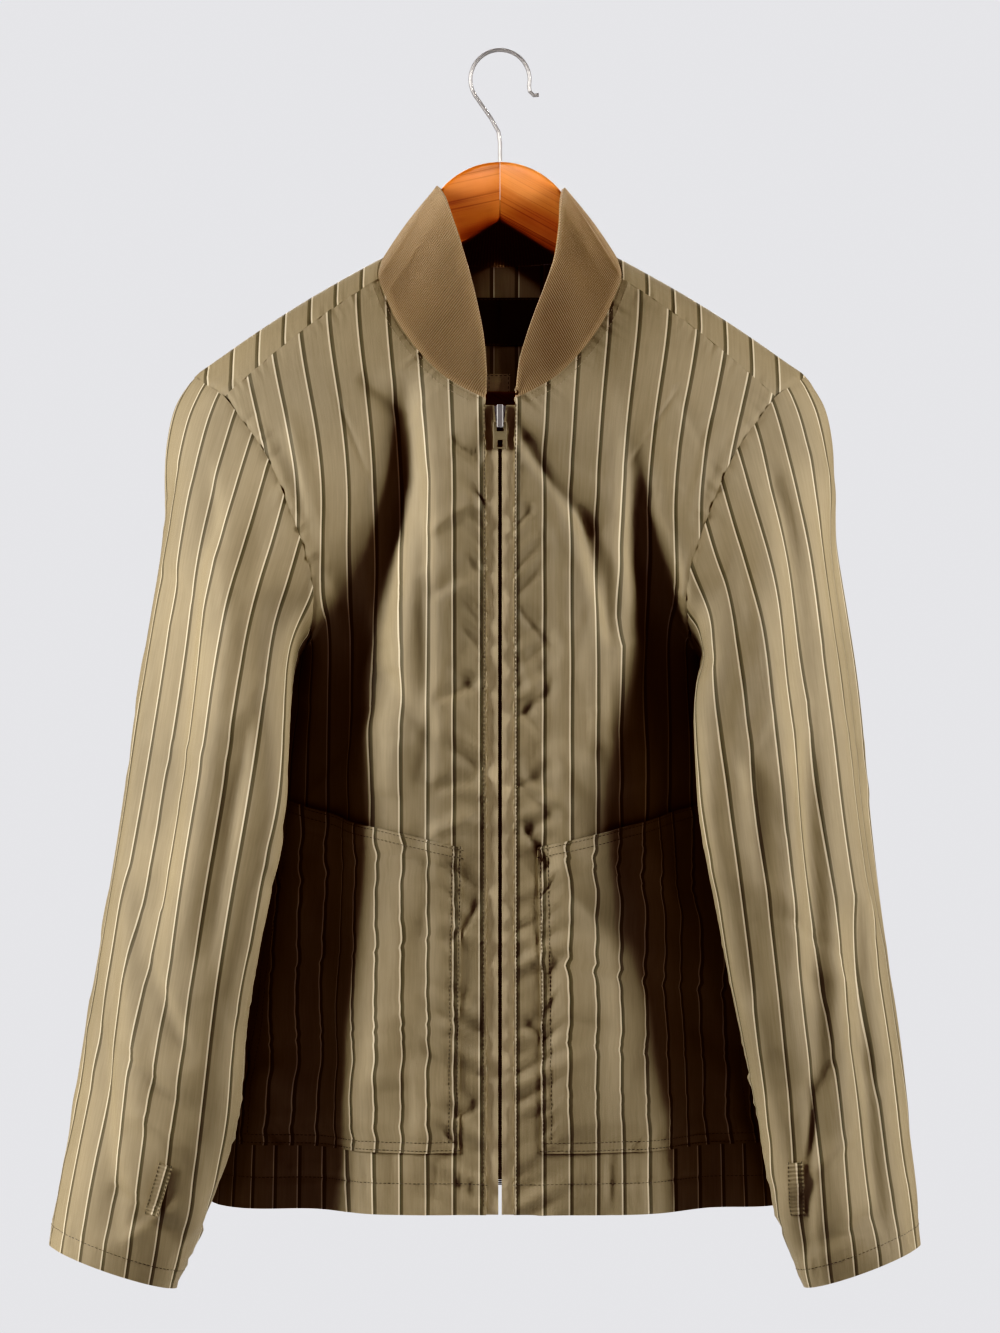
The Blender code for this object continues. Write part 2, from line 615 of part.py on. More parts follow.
def merge(target, other, operation="UNION"):
    """Joins or cuts with a Boolean, and keeps the result as a plain mesh."""
    step = target.modifiers.new("join", "BOOLEAN")
    step.operation, step.object = operation, other
    bpy.context.view_layer.update()
    graph = bpy.context.evaluated_depsgraph_get()
    data = bpy.data.meshes.new_from_object(target.evaluated_get(graph))
    target.modifiers.clear()
    target.data = data
    bpy.data.objects.remove(other)
    return target


def make_zip():
    """Two woven tapes, the closed chain behind them, the slider with its crown, and its tab."""
    line = curve(CENTRE_FRONT, 200)
    levels = np.concatenate([np.linspace(ZIP_TOP, PARTED_Z, 7)[:-1], np.linspace(PARTED_Z, HEM_Z, 23)])
    tape_y = np.interp(levels, line[::-1, 2], line[::-1, 1]) + CLOTH + SEAM_GAP
    opening = np.clip((levels - PARTED_Z) / (ZIP_TOP - PARTED_Z), 0.0, 1.0) ** 1.5
    inner_edge = TAPE_IN + (PARTED - TAPE_IN) * opening
    outer_edge = np.full(len(levels), TAPE_OUT)
    for name, sign in SIDES.items():
        strip(f"zip_tape_{name}", tape_y, levels, sign * inner_edge, sign * outer_edge, TAPE)
    chain_z = np.linspace(SLIDER_Z - SLIDER_TALL / 2 - SEAM_GAP, ZIP_FOOT, 25)
    chain_y = np.interp(chain_z, levels[::-1], tape_y[::-1]) + TAPE + SEAM_GAP
    chain_edge = np.full(len(chain_z), CHAIN_HALF)
    strip("zip_chain", chain_y, chain_z, -chain_edge, chain_edge, CHAIN)
    make_slider(float(np.interp(SLIDER_Z, line[::-1, 2], line[::-1, 1])) + CLOTH)


def make_slider(face):
    """The body behind the tapes, the neck between them, and the crown in front, with its eye."""
    front, back = face - SEAM_GAP, face + SEAM_GAP + TAPE + SEAM_GAP
    body_y, crown_y = back + SLIDER_DEEP / 2, front - CROWN_DEEP / 2
    body_size = (SLIDER_WIDE, SLIDER_DEEP, SLIDER_TALL)
    slider = box("zip_slider", (0, body_y, SLIDER_Z), body_size, "steel", 0.0004)
    neck_size = (NECK_WIDE, body_y - crown_y, NECK_TALL)
    neck = box("neck", (0, (body_y + crown_y) / 2, SLIDER_Z + NECK_TALL / 4), neck_size, "steel")
    crown = box("crown", (0, crown_y, SLIDER_Z), (CROWN_WIDE, CROWN_DEEP, CROWN_TALL), "steel", 0.0007)
    merge(merge(slider, neck), crown)
    eye_z = SLIDER_Z - CROWN_TALL / 2 + EYE_RISE
    eye = box("eye", (0, crown_y, eye_z), (2 * CROWN_WIDE, EYE_WIDE, EYE_TALL), "steel")
    merge(slider, eye, "DIFFERENCE")
    make_tab(crown_y, eye_z)


def make_tab(y, z):
    """The pull tab: a plate with a pin through the crown's eye, on which it swings."""
    through_y = 6 * TAB_THICK
    middle = TAB_RISE - TAB_TALL / 2
    size = (TAB_WIDE, TAB_THICK, TAB_TALL)
    tab = box("zip_pull_tab", (0, 0, middle), size, "painted_metal", 0.0005)
    slot = box("slot", (0, 0, 0), (SLOT_WIDE, through_y, -2 * SLOT_FOOT), "painted_metal")
    merge(tab, slot, "DIFFERENCE")
    ring_z = TAB_RISE - TAB_TALL + RING_FOOT + RING_TALL / 2
    ring = box("ring", (0, 0, ring_z), (RING_WIDE, through_y, RING_TALL), "painted_metal")
    merge(tab, ring, "DIFFERENCE")
    pin = bmesh.new()
    bmesh.ops.create_cone(
        pin, cap_ends=True, segments=12, radius1=PIN_RADIUS, radius2=PIN_RADIUS, depth=TAB_WIDE - TAB_THICK
    )
    bmesh.ops.rotate(pin, matrix=Matrix.Rotation(math.pi / 2, 3, "Y"), verts=pin.verts[:])
    merge(tab, finished("pin", pin, "painted_metal"))
    tab.location = (0, y, z)


# Hanger

def plate(name, outline, thick, finish, bevel):
    """A flat outline in x and z, thickened evenly about y = 0."""
    data = bpy.data.curves.new(name, "CURVE")
    data.dimensions, data.fill_mode, data.extrude = "2D", "BOTH", thick / 2 - bevel
    data.bevel_depth, data.bevel_resolution, data.offset = bevel, 1, -bevel
    spline = data.splines.new("POLY")
    spline.points.add(len(outline) - 1)
    for point, (x, z) in zip(spline.points, outline):
        point.co = (x, z, 0.0, 1.0)
    spline.use_cyclic_u = True
    made = bpy.data.objects.new(name, data)
    made.rotation_euler = (math.pi / 2, 0, 0)
    PARTS.objects.link(made)
    data.materials.append(MATERIALS[finish])
    return made


def wire(name, points, radius, finish):
    data = bpy.data.curves.new(name, "CURVE")
    data.dimensions, data.bevel_depth, data.bevel_resolution, data.use_fill_caps = "3D", radius, 2, True
    spline = data.splines.new("POLY")
    spline.points.add(len(points) - 1)
    for point, place in zip(spline.points, points):
        point.co = (*place, 1.0)
    made = bpy.data.objects.new(name, data)
    PARTS.objects.link(made)
    data.materials.append(MATERIALS[finish])
    return made


def smooth_line(corners, steps):
    spots = [Spot(x, 0.0, z) for x, z in corners]
    return [(x, z) for x, _, z in curve(spots, steps)]


def make_hanger():
    """Two shaped arms glued at the middle, a bar between their ends, and a wire hook."""
    lowest = math.asin((HANGER_TOP[0][1] - CROWN_TOP + CROWN_RADIUS) / CROWN_RADIUS)
    arc = []
    for angle in np.linspace(math.pi / 2, lowest, 9)[:-1]:
        arc.append((CROWN_RADIUS * math.cos(angle), CROWN_TOP - CROWN_RADIUS * (1 - math.sin(angle))))
    top = arc + smooth_line(HANGER_TOP + HANGER_END, 22)
    foot = smooth_line(HANGER_FOOT, 12) + [(0.0, HANGER_NOTCH)]
    half = top + foot
    for name, sign in SIDES.items():
        outline = [(sign * max(x, SEAM_GAP / 2), z) for x, z in half]
        plate(f"hanger_arm_{name}", outline, WOOD, "wood", WOOD_EDGE)
    wire("trouser_bar", [(-BAR_HALF, 0, BAR_Z), (BAR_HALF, 0, BAR_Z)], BAR_RADIUS, "wood")
    bowl = HOOK_RADIUS + WIRE_RADIUS
    points = [(0, 0, CROWN_TOP + SEAM_GAP), *((x, 0, z) for x, z in HOOK_STEM)]
    for angle in np.radians(np.linspace(HOOK_START, HOOK_STOP, 24)):
        points.append((bowl * math.cos(angle), 0, -HOOK_RADIUS + bowl * math.sin(angle)))
    points += [(x, 0, z) for x, z in HOOK_TIP]
    wire("hook", points, WIRE_RADIUS, "steel")


# The jacket

def make_jacket():
    """Works out every panel's grid, then cuts each piece to its seams and gives it its wall."""
    grids, outward = {}, {}
    fronts, backs = {}, {}
    for name, sign in SIDES.items():
        fronts[name], backs[name] = body_panels(sign)
        grids[f"front_{name}"], grids[f"back_{name}"] = fronts[name], backs[name]
        grids[f"sleeve_{name}"] = sleeve_grid(name, sign)
        outward[f"front_{name}"] = -sign
        outward[f"back_{name}"] = sign
        outward[f"sleeve_{name}"] = sign
    flat = shared_normals(grids, outward)
    for name in SIDES:
        grids[f"front_{name}"] = folded(grids[f"front_{name}"], flat[f"front_{name}"], FRONT_FOLDS)
        grids[f"back_{name}"] = folded(grids[f"back_{name}"], flat[f"back_{name}"], BACK_FOLDS)
        fronts[name], backs[name] = grids[f"front_{name}"], grids[f"back_{name}"]
    grids["collar"] = collar_grid(fronts, backs)
    outward["collar"] = -1.0
    normals = shared_normals(grids, outward)
    make_body(grids, normals)
    make_sleeves(grids, normals)
    cut = seam_inset(grids["collar"], normals["collar"], {"top": 0}, SEAM_GAP / 2)
    wall("collar", cut, cut - normals["collar"] * RIB, "rib_knit")


def make_body(grids, normals):
    gap = SEAM_GAP / 2
    for name in SIDES:
        grid, facing = grids[f"front_{name}"], normals[f"front_{name}"]
        cut = seam_inset(grid, facing, {"top": 0, "first": NECK_FRONT_ROWS + 1, "last": 0}, gap)
        wall(f"front_{name}", cut, cut - facing * CLOTH, "cloth")
        pocket(f"pocket_{name}", grid, facing)
    halves = []
    for name in SIDES:
        grid, facing = grids[f"back_{name}"], normals[f"back_{name}"].copy()
        facing[NECK_BACK_ROWS:, 0, 0] = 0.0
        cut = seam_inset(grid, facing, {"top": 0, "last": 0, "first": NECK_BACK_ROWS}, gap)
        halves.append(wall(f"back_{name}", cut, cut - facing * CLOTH, "cloth", NECK_BACK_ROWS))
    join_halves("back", halves)
    inside = {
        name: surface_of(grids[f"back_{name}"], -normals[f"back_{name}"], 1.0) for name in SIDES
    }

    def within(x, z):
        return inside["left" if x > 0 else "right"](x, z)

    patch("neck_label", NECK_LABEL, within, CLOTH + LAY_GAP, LABEL, "label", 4, 8)
    patch("care_tab", CARE_TAB, within, CLOTH + LAY_GAP, LABEL, "tape", 2, 2)


def join_halves(name, halves):
    mesh = bmesh.new()
    for half in halves:
        mesh.from_mesh(half.data)
        bpy.data.objects.remove(half)
    bmesh.ops.remove_doubles(mesh, verts=mesh.verts[:], dist=0.00002)
    finished(name, mesh, "cloth")


def make_sleeves(grids, normals):
    gap = SEAM_GAP / 2
    for name in SIDES:
        grid, facing = grids[f"sleeve_{name}"], normals[f"sleeve_{name}"]
        pieces = {
            "top": list(range(SLEEVE_SEAM_BACK, grid.shape[1] - 1)) + list(range(SLEEVE_SEAM_FRONT + 1)),
            "under": list(range(SLEEVE_SEAM_FRONT, SLEEVE_SEAM_BACK + 1)),
        }
        for piece, columns in pieces.items():
            part, out = grid[:, columns], facing[:, columns]
            cut = seam_inset(part, out, {"top": 0, "first": 0, "last": 0}, gap)
            wall(f"sleeve_{piece}_{name}", cut, cut - out * CLOTH, "cloth")
            if piece == "top":
                seen = surface_of(part, out, -1.0)
                patch(f"vent_welt_{name}", VENTS[name], seen, LAY_GAP, CLOTH, "cloth", 5, 2)


for old in list(bpy.data.objects):
    bpy.data.objects.remove(old)
PARTS = bpy.data.collections.new("bomber_jacket")
bpy.context.scene.collection.children.link(PARTS)
MATERIALS = make_materials()
make_jacket()
make_zip()
make_hanger()
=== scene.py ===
# %% [markdown]
# # A zipped bomber jacket of striped cloth on a wooden hanger
# The real jacket is sewn from flat pieces: two fronts, a back, two-piece sleeves, a knitted
# collar and patch pockets. This lesson loads the plain solids of those pieces, then dresses each
# one with a thinner, creased wall of cloth that follows the same seams. Everything is in metres,
# with +Z up, the front towards -Y and the top of the hook's inside at the origin.

import math
from collections import namedtuple

import bmesh
import bpy
import numpy as np
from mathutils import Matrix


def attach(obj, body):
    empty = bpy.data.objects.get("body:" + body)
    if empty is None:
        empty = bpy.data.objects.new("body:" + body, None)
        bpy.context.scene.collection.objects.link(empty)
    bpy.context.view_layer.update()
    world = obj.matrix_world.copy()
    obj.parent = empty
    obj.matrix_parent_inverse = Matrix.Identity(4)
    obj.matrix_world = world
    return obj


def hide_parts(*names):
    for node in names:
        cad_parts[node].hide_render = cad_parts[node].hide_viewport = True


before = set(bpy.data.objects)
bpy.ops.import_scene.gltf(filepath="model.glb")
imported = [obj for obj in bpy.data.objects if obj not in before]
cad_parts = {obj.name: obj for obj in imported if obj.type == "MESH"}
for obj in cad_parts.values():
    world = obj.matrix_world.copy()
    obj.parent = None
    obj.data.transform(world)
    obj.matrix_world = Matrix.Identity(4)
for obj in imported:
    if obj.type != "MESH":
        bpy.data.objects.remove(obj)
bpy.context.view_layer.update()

# %% [markdown]
# ## Camera
# A catalogue photograph is taken level, from far enough away that the jacket isn't distorted. A
# long lens does the same here. The camera looks along +Y at the middle of the garment.

# %% Camera
CAMERA_AWAY, CAMERA_Z, LENS = 2.6, -0.444, 97.2
camera = bpy.data.objects.new("camera", bpy.data.cameras.new("camera"))
camera.data.lens = LENS
camera.location = (0.0, -CAMERA_AWAY, CAMERA_Z)
camera.rotation_euler = (math.radians(90), 0.0, 0.0)
bpy.context.scene.collection.objects.link(camera)
bpy.context.scene.camera = camera
print("camera", CAMERA_AWAY, "m away, lens", LENS, "mm")

# %% [markdown]
# ## Light and floor
# Two tall soft boxes stand at the sides, which leaves each front in deep shade beside the sleeves.
# A weak warm light from the front, a narrow one on the neck and one behind fill the rest. A tone
# curve darkens and warms the shadows, as the print of the photograph does.

# %% Light and floor
def soft_box(name, place, aim, size, power, colour=(1.0, 1.0, 1.0)):
    """An area light at `place` that faces `aim`."""
    lamp = bpy.data.lights.new(name, "AREA")
    lamp.shape, lamp.size, lamp.size_y, lamp.energy = "RECTANGLE", size[0], size[1], power
    lamp.color = colour
    holder = bpy.data.objects.new(name, lamp)
    holder.location = place
    x, y, z = np.array(aim) - np.array(place)
    holder.rotation_euler = (math.atan2(math.hypot(x, y), -z), 0.0, math.atan2(-x, y))
    bpy.context.scene.collection.objects.link(holder)
    return holder


SIDE_SIZE, MIDDLE = (0.40, 1.2), (0.0, 0.0, -0.50)
soft_box("left_box", (-1.85, -0.64, 0.10), (-0.05, 0.0, -0.50), SIDE_SIZE, 50.0)
soft_box("right_box", (1.85, -0.64, 0.10), (0.05, 0.0, -0.50), SIDE_SIZE, 42.5)
soft_box("front_box", (0.0, -2.6, 0.75), MIDDLE, (0.8, 0.8), 0.35, (1.0, 0.50, 0.26))
neck_box = soft_box("neck_box", (0.0, -1.30, 0.45), (0.0, 0.0, -0.09), (0.15, 0.15), 0.036, (1.0, 0.94, 0.88))
neck_box.data.spread = math.radians(11.0)
soft_box("back_box", (0.0, 2.4, 0.7), MIDDLE, (1.4, 1.0), 26.0).visible_camera = False

BACKDROP, ROOM = (0.570, 0.571, 0.580, 1.0), (0.042, 0.015, 0.005, 1.0)
world = bpy.data.worlds.new("studio")
bpy.context.scene.world = world
world.use_nodes = True
web = world.node_tree
sky, path = web.nodes.new("ShaderNodeMix"), web.nodes.new("ShaderNodeLightPath")
sky.data_type = "RGBA"
sky.inputs[6].default_value, sky.inputs[7].default_value = ROOM, BACKDROP
web.links.new(path.outputs["Is Camera Ray"], sky.inputs[0])
web.links.new(sky.outputs[2], web.nodes["Background"].inputs["Color"])
grade = bpy.context.scene.view_settings
grade.view_transform, grade.exposure, grade.gamma = "Standard", 0.5, 0.75
grade.use_curve_mapping = True
RED_TONES = [(0.060, 0.028), (0.160, 0.145), (0.300, 0.310)]
GREEN_TONES = [(0.045, 0.012), (0.120, 0.100), (0.250, 0.255)]
BLUE_TONES = [(0.028, 0.005), (0.080, 0.058), (0.160, 0.160)]
for channel, tones in zip(grade.curve_mapping.curves, (RED_TONES, GREEN_TONES, BLUE_TONES)):
    for place, value in tones:
        channel.points.new(place, value)
grade.curve_mapping.update()

FLOOR_Z, FLOOR_HALF = -1.45, 2.2
floor_mesh = bpy.data.meshes.new("floor")
corners = [(x * FLOOR_HALF, y * FLOOR_HALF, FLOOR_Z) for x, y in ((-1, -1), (1, -1), (1, 1), (-1, 1))]
floor_mesh.from_pydata(corners, [], [(0, 1, 2, 3)])
floor = bpy.data.objects.new("floor", floor_mesh)
bpy.context.scene.collection.objects.link(floor)
floor_finish = bpy.data.materials.new("floor_paper")
floor_finish.use_nodes = True
paper = floor_finish.node_tree.nodes["Principled BSDF"].inputs
paper["Base Color"].default_value, paper["Roughness"].default_value = (0.55, 0.55, 0.56, 1.0), 0.8
floor_mesh.materials.append(floor_finish)
print("lights 5, floor at", FLOOR_Z)

# %% [markdown]
# ## The pattern's sizes
# These are the driving sizes and seam tables that the solids were worked out from. A garment's
# shape is in its seams, so each seam is a short run of spots in millimetres: `out` is the distance
# from the centre line to either side. The wall is thinner than the solids', as real cloth is.

# %% Sizes and seams
CLOTH, RIB = 0.0009, 0.0022
SIDES = {"right": -1.0, "left": 1.0}
COLUMNS = 13
NECK_FRONT_ROWS, NECK_BACK_ROWS = 8, 9
ARM_FRONT_ROWS, ARM_BACK_ROWS = 10, 14
SIDE_ROWS, CAP_ROWS, ARM_ROWS, COLLAR_ROWS = 16, 5, 13, 5


def table(kind, *numbers, to_metres=1000):
    """Rows of one kind from a run of numbers, which are in millimetres unless told otherwise."""
    size = len(kind._fields)
    scaled = [number / to_metres for number in numbers]
    return [kind(*scaled[k:k + size]) for k in range(0, len(scaled), size)]


Spot = namedtuple("Spot", "out y z")
NECK_FRONT = table(
    Spot, 87, -20, -165,  76, -37, -193,  56.5, -56, -222,  35, -73, -243,  10.5, -86, -256.5)
NECK_BACK = table(Spot, 87, -20, -165,  84, 2, -148,  67, 30, -146,  36, 47, -148,  0, 52, -150)
ARMHOLE_FRONT = table(
    Spot, 197, -32, -251,  178, -47, -276,  163, -60, -298,  153, -69, -321,  142, -76, -349,
    132, -79, -379,  131, -71, -404,  136, -44, -427,  147, 4, -439)
ARMHOLE_BACK = table(
    Spot, 197, -32, -251,  212, -16, -241,  222, 4, -234.5,  216, 24, -247,  199, 40, -277,
    186, 50, -312,  177, 53, -352,  169, 47, -396,  159, 28, -428,  147, 4, -439)
SIDE_SEAM = table(
    Spot, 147, 4, -439,  157, 9, -480,  170, 10, -570,  188, 8, -680,  209, 4, -828)
CENTRE_FRONT = table(
    Spot, 10.5, -86, -256.5,  10, -89, -330,  9.7, -92, -430,  9.7, -95, -600,  9.7, -94, -826)
CENTRE_BACK = table(
    Spot, 0, 52, -150,  0, 62, -210,  0, 70, -330,  0, 73, -480,  0, 70, -660,  0, 66, -823)
HEM_Z = CENTRE_FRONT[-1].z

RowShape = namedtuple("RowShape", "at wrap corner bow crown drop")
FRONT_ROWS = table(
    RowShape,
    0.00, 0.0, 2.4, 0.003, 0.004, 1.0,  0.16, 0.2, 2.4, 0.005, 0.001, 1.0,
    0.28, 0.8, 2.5, 0.005, 0.000, 1.3,  0.385, 1.0, 2.6, 0.003, 0.000, 3.4,
    0.60, 1.0, 2.4, 0.000, 0.000, 2.0,  1.00, 1.0, 2.4, 0.000, 0.000, 1.0, to_metres=1)
BACK_ROWS = table(
    RowShape,
    0.00, 0.0, 2.4, -0.003, 0.004, 1.0,  0.06, 0.0, 2.4, 0.000, 0.004, 1.0,
    0.16, 0.1, 2.4, 0.008, 0.004, 1.0,  0.32, 0.5, 2.4, 0.009, 0.000, 1.2,
    0.467, 1.0, 2.5, 0.003, 0.000, 2.6,  0.70, 1.0, 2.4, 0.000, 0.000, 1.6,
    1.00, 1.0, 2.3, 0.000, 0.000, 1.0, to_metres=1)
Ring = namedtuple("Ring", "at out y z long short turn tilt")
SLEEVES = {
    "right": table(
        Ring,
        0.00, 0.1970, -0.036, -0.425, 0.070, 0.036, 58, 1.25,
        0.16, 0.2045, -0.046, -0.495, 0.074, 0.035, 50, 0.85,
        0.40, 0.2185, -0.052, -0.585, 0.072, 0.037, 48, 0.46,
        0.59, 0.2325, -0.056, -0.675, 0.068, 0.040, 44, 0.26,
        0.77, 0.2435, -0.060, -0.757, 0.067, 0.042, 36, 0.16,
        0.89, 0.2590, -0.062, -0.817, 0.058, 0.038, 28, 0.18,
        1.00, 0.2730, -0.062, -0.866, 0.047, 0.032, 18, 0.31, to_metres=1),
    "left": table(
        Ring,
        0.00, 0.1900, -0.044, -0.425, 0.078, 0.035, 54, 1.15,
        0.16, 0.1975, -0.054, -0.495, 0.080, 0.034, 48, 0.78,
        0.40, 0.2090, -0.055, -0.585, 0.074, 0.037, 46, 0.44,
        0.59, 0.2220, -0.058, -0.675, 0.067, 0.040, 44, 0.28,
        0.77, 0.2335, -0.062, -0.757, 0.059, 0.041, 38, 0.16,
        0.89, 0.2430, -0.064, -0.817, 0.053, 0.037, 30, 0.16,
        1.00, 0.2550, -0.064, -0.8655, 0.043, 0.031, 18, 0.34, to_metres=1),
}
SHOULDER_ANGLE, UNDERARM_ANGLE = 15.0, 222.0
CAP_LEAVES, UNDER_LEAVES, CAP_REACH = (0.68, -0.73), (0.73, -0.68), 0.33
SLEEVE_SEAM_FRONT, SLEEVE_SEAM_BACK = 8, 15
COLLAR_EDGE = {
    "right": table(
        Spot, 10, -85.2, -252.5,  10.8, -77, -221,  17, -64, -185,  27.5, -47, -145,
        43, -22, -101,  46.5, 4, -98.5,  39, 27, -99,  22, 41, -100,  0, 45, -101),
    "left": table(
        Spot, 12, -85.2, -252.5,  14, -78, -229,  23.5, -67, -198,  40, -49, -150,
        45, -22, -102.5,  47.5, 4, -99.5,  39, 27, -99,  22, 41, -100,  0, 45, -101),
}
COLLAR_CORNER_Y, COLLAR_CORNER_Z = -0.016, -0.120
print("seam spots:", len(NECK_FRONT) + len(NECK_BACK) + len(ARMHOLE_FRONT) + len(ARMHOLE_BACK))

# %% [markdown]
# ## Curves through the tables
# A seam is a smooth curve through its spots. `through` blends from one spot to the next with the
# slopes that the spots suggest, and `even` walks along the result in equal steps, which keeps the
# cells of each cloth piece even.

# %% Curve helpers
def through(keys, values, at):
    """Values at `at` on a smooth curve through the keyed ones."""
    keys, values = np.asarray(keys, float), np.asarray(values, float)
    slopes = np.gradient(values, keys, axis=0)
    cell = np.clip(np.searchsorted(keys, at, side="right") - 1, 0, len(keys) - 2)
    span = keys[cell + 1] - keys[cell]
    t = np.clip((at - keys[cell]) / span, 0.0, 1.0)
    if values.ndim > 1:
        t, span = t[:, None], span[:, None]
    near = values[cell] * (1 + 2 * t) * (1 - t) ** 2 + values[cell + 1] * t * t * (3 - 2 * t)
    return near + span * (slopes[cell] * t * (1 - t) ** 2 - slopes[cell + 1] * t * t * (1 - t))


def summed(steps, axis=0):
    """Running sums along an axis, starting from nothing."""
    sums = np.cumsum(steps, axis=axis)
    return np.concatenate([np.zeros_like(np.take(sums, [0], axis=axis)), sums], axis=axis)


def run_of(points, axis=0):
    """How far along each point lies, from the first one."""
    return summed(np.linalg.norm(np.diff(points, axis=axis), axis=-1), axis)


def even(points, steps):
    """steps + 1 points, evenly spaced along a polyline."""
    run = run_of(points)
    at = np.linspace(0.0, run[-1], steps + 1)
    return np.stack([np.interp(at, run, points[:, k]) for k in range(points.shape[1])], axis=1)


def curve(spots, steps, sign=1.0):
    """steps + 1 points, evenly spaced on a smooth curve through the spots of one side."""
    points = np.array([[sign * spot.out, spot.y, spot.z] for spot in spots])
    run = run_of(points)
    smooth = through(run, points, np.linspace(0.0, run[-1], 400))
    smooth[0], smooth[-1] = points[0], points[-1]
    return even(smooth, steps)


def fields_at(rows, at):
    """Every field of a table but its key, at one place along it."""
    keys = [row[0] for row in rows]
    return [float(through(keys, values, np.array([at]))[0]) for values in list(zip(*rows))[1:]]


def eased(share):
    return share * share * (3.0 - 2.0 * share)


print("side seam falls", round(float(np.ptp(curve(SIDE_SEAM, 16)[:, 2])), 3), "m")

# %% [markdown]
# ## Grids of the body panels
# A front runs from the shoulder seam to the hem. Each row goes from the zip or the neck out to
# the armhole or the side seam, rounded in plan as a torso is. The row table says how round,
# square or raised the row is at each height.

# %% Body grids
def panel_row(inner, outer, wrap, corner, bow, crown, drop):
    """One row of a panel, from its inner to its outer end, rounded in plan like a torso."""
    turn = np.linspace(0.0, math.pi / 2, 240)
    along = np.sin(turn) ** (2.0 / corner)
    across = (1.0 - wrap) * along + wrap * (1.0 - np.cos(turn) ** (2.0 / corner))
    x = inner[0] + (outer[0] - inner[0]) * along
    y = inner[1] + (outer[1] - inner[1]) * across
    run = run_of(np.stack([x, y], axis=1))
    run /= run[-1]
    fall = 1.0 - (1.0 - run) ** drop
    z = inner[2] + (outer[2] - inner[2]) * fall + crown * np.sin(math.pi * run)
    y = y + bow * np.sin(math.pi * run)
    return even(np.stack([x, y, z], axis=1), COLUMNS)


def panel(inner, outer, shapes, facing):
    """Rows from the shoulder seam to the hem; `facing` is -1 for a front and 1 for the back."""
    rows = []
    for number, (start, end) in enumerate(zip(inner, outer)):
        wrap, corner, bow, crown, drop = fields_at(shapes, number / (len(inner) - 1))
        rows.append(panel_row(start, end, min(max(wrap, 0.0), 1.0), corner, facing * bow, crown, drop))
    return np.array(rows)


def chained(first, second):
    return np.concatenate([first, second[1:]])


def body_panel(sign, neck, neck_rows, centre, armhole, arm_rows, shapes, facing):
    rows = arm_rows + SIDE_ROWS - neck_rows
    inner = chained(curve(neck, neck_rows, sign), curve(centre, rows, sign))
    outer = chained(curve(armhole, arm_rows, sign), curve(SIDE_SEAM, SIDE_ROWS, sign))
    return panel(inner, outer, shapes, facing)


fronts, backs = {}, {}
for name, sign in SIDES.items():
    fronts[name] = body_panel(
        sign, NECK_FRONT, NECK_FRONT_ROWS, CENTRE_FRONT, ARMHOLE_FRONT, ARM_FRONT_ROWS, FRONT_ROWS, -1.0)
    backs[name] = body_panel(
        sign, NECK_BACK, NECK_BACK_ROWS, CENTRE_BACK, ARMHOLE_BACK, ARM_BACK_ROWS, BACK_ROWS, 1.0)
print("front grid", fronts["left"].shape, "back grid", backs["left"].shape)

# %% [markdown]
# ## Grids of the sleeves and the collar
# A sleeve is a stack of tilted ovals that hangs from the armhole seam. The first rows, its cap,
# leave the seam on their own slant and bend into the stack. The collar is a band between the neck
# seam and its own free edge.

# %% Sleeve and collar grids
def ring_points(sign, ring, angles):
    """Points round one ring; the angles run from straight out, through the front, and in."""
    turn = math.radians(-ring.turn)
    phase = np.radians(angles) - turn
    out = ring.long * np.cos(phase) * math.cos(turn) - ring.short * np.sin(phase) * math.sin(turn)
    front = ring.long * np.cos(phase) * math.sin(turn) + ring.short * np.sin(phase) * math.cos(turn)
    return np.stack([sign * (ring.out + out), ring.y - front, ring.z + ring.tilt * out], axis=1)


def cap_rows(sign, armhole, first, second, angles):
    """The rows of the cap: each column leaves the armhole on a slant and runs into the sleeve."""
    under = 0.5 - 0.5 * np.cos(angles - math.radians(SHOULDER_ANGLE))
    out, down = (CAP_LEAVES[k] * (1 - under) + UNDER_LEAVES[k] * under for k in (0, 1))
    leaves = np.stack([sign * out, np.zeros_like(out), down], axis=1)
    arrives = second - first
    arrives /= np.linalg.norm(arrives, axis=1)[:, None]
    reach = CAP_REACH * np.linalg.norm(first - armhole, axis=1)[:, None]
    pull, push = armhole + reach * leaves, first - reach * arrives
    rows = []
    for t in np.linspace(0.0, 1.0, CAP_ROWS + 1)[:-1]:
        near = armhole * (1 - t) ** 3 + 3 * pull * t * (1 - t) ** 2
        rows.append(near + 3 * push * t * t * (1 - t) + first * t ** 3)
    return rows


def sleeve_grid(name, sign):
    """Rings from the armhole to the cuff. The last column is the first again, at the shoulder."""
    front = curve(ARMHOLE_FRONT, ARM_FRONT_ROWS, sign)
    back = curve(ARMHOLE_BACK, ARM_BACK_ROWS, sign)
    angles = chained(
        np.linspace(SHOULDER_ANGLE, UNDERARM_ANGLE, ARM_FRONT_ROWS + 1),
        np.linspace(UNDERARM_ANGLE, SHOULDER_ANGLE + 360.0, ARM_BACK_ROWS + 1))
    rings = []
    for at in np.linspace(0.0, 1.0, ARM_ROWS + 1):
        rings.append(ring_points(sign, Ring(at, *fields_at(SLEEVES[name], at)), angles))
    armhole = chained(front, back[::-1])
    return np.array(cap_rows(sign, armhole, rings[0], rings[1], np.radians(angles)) + rings)


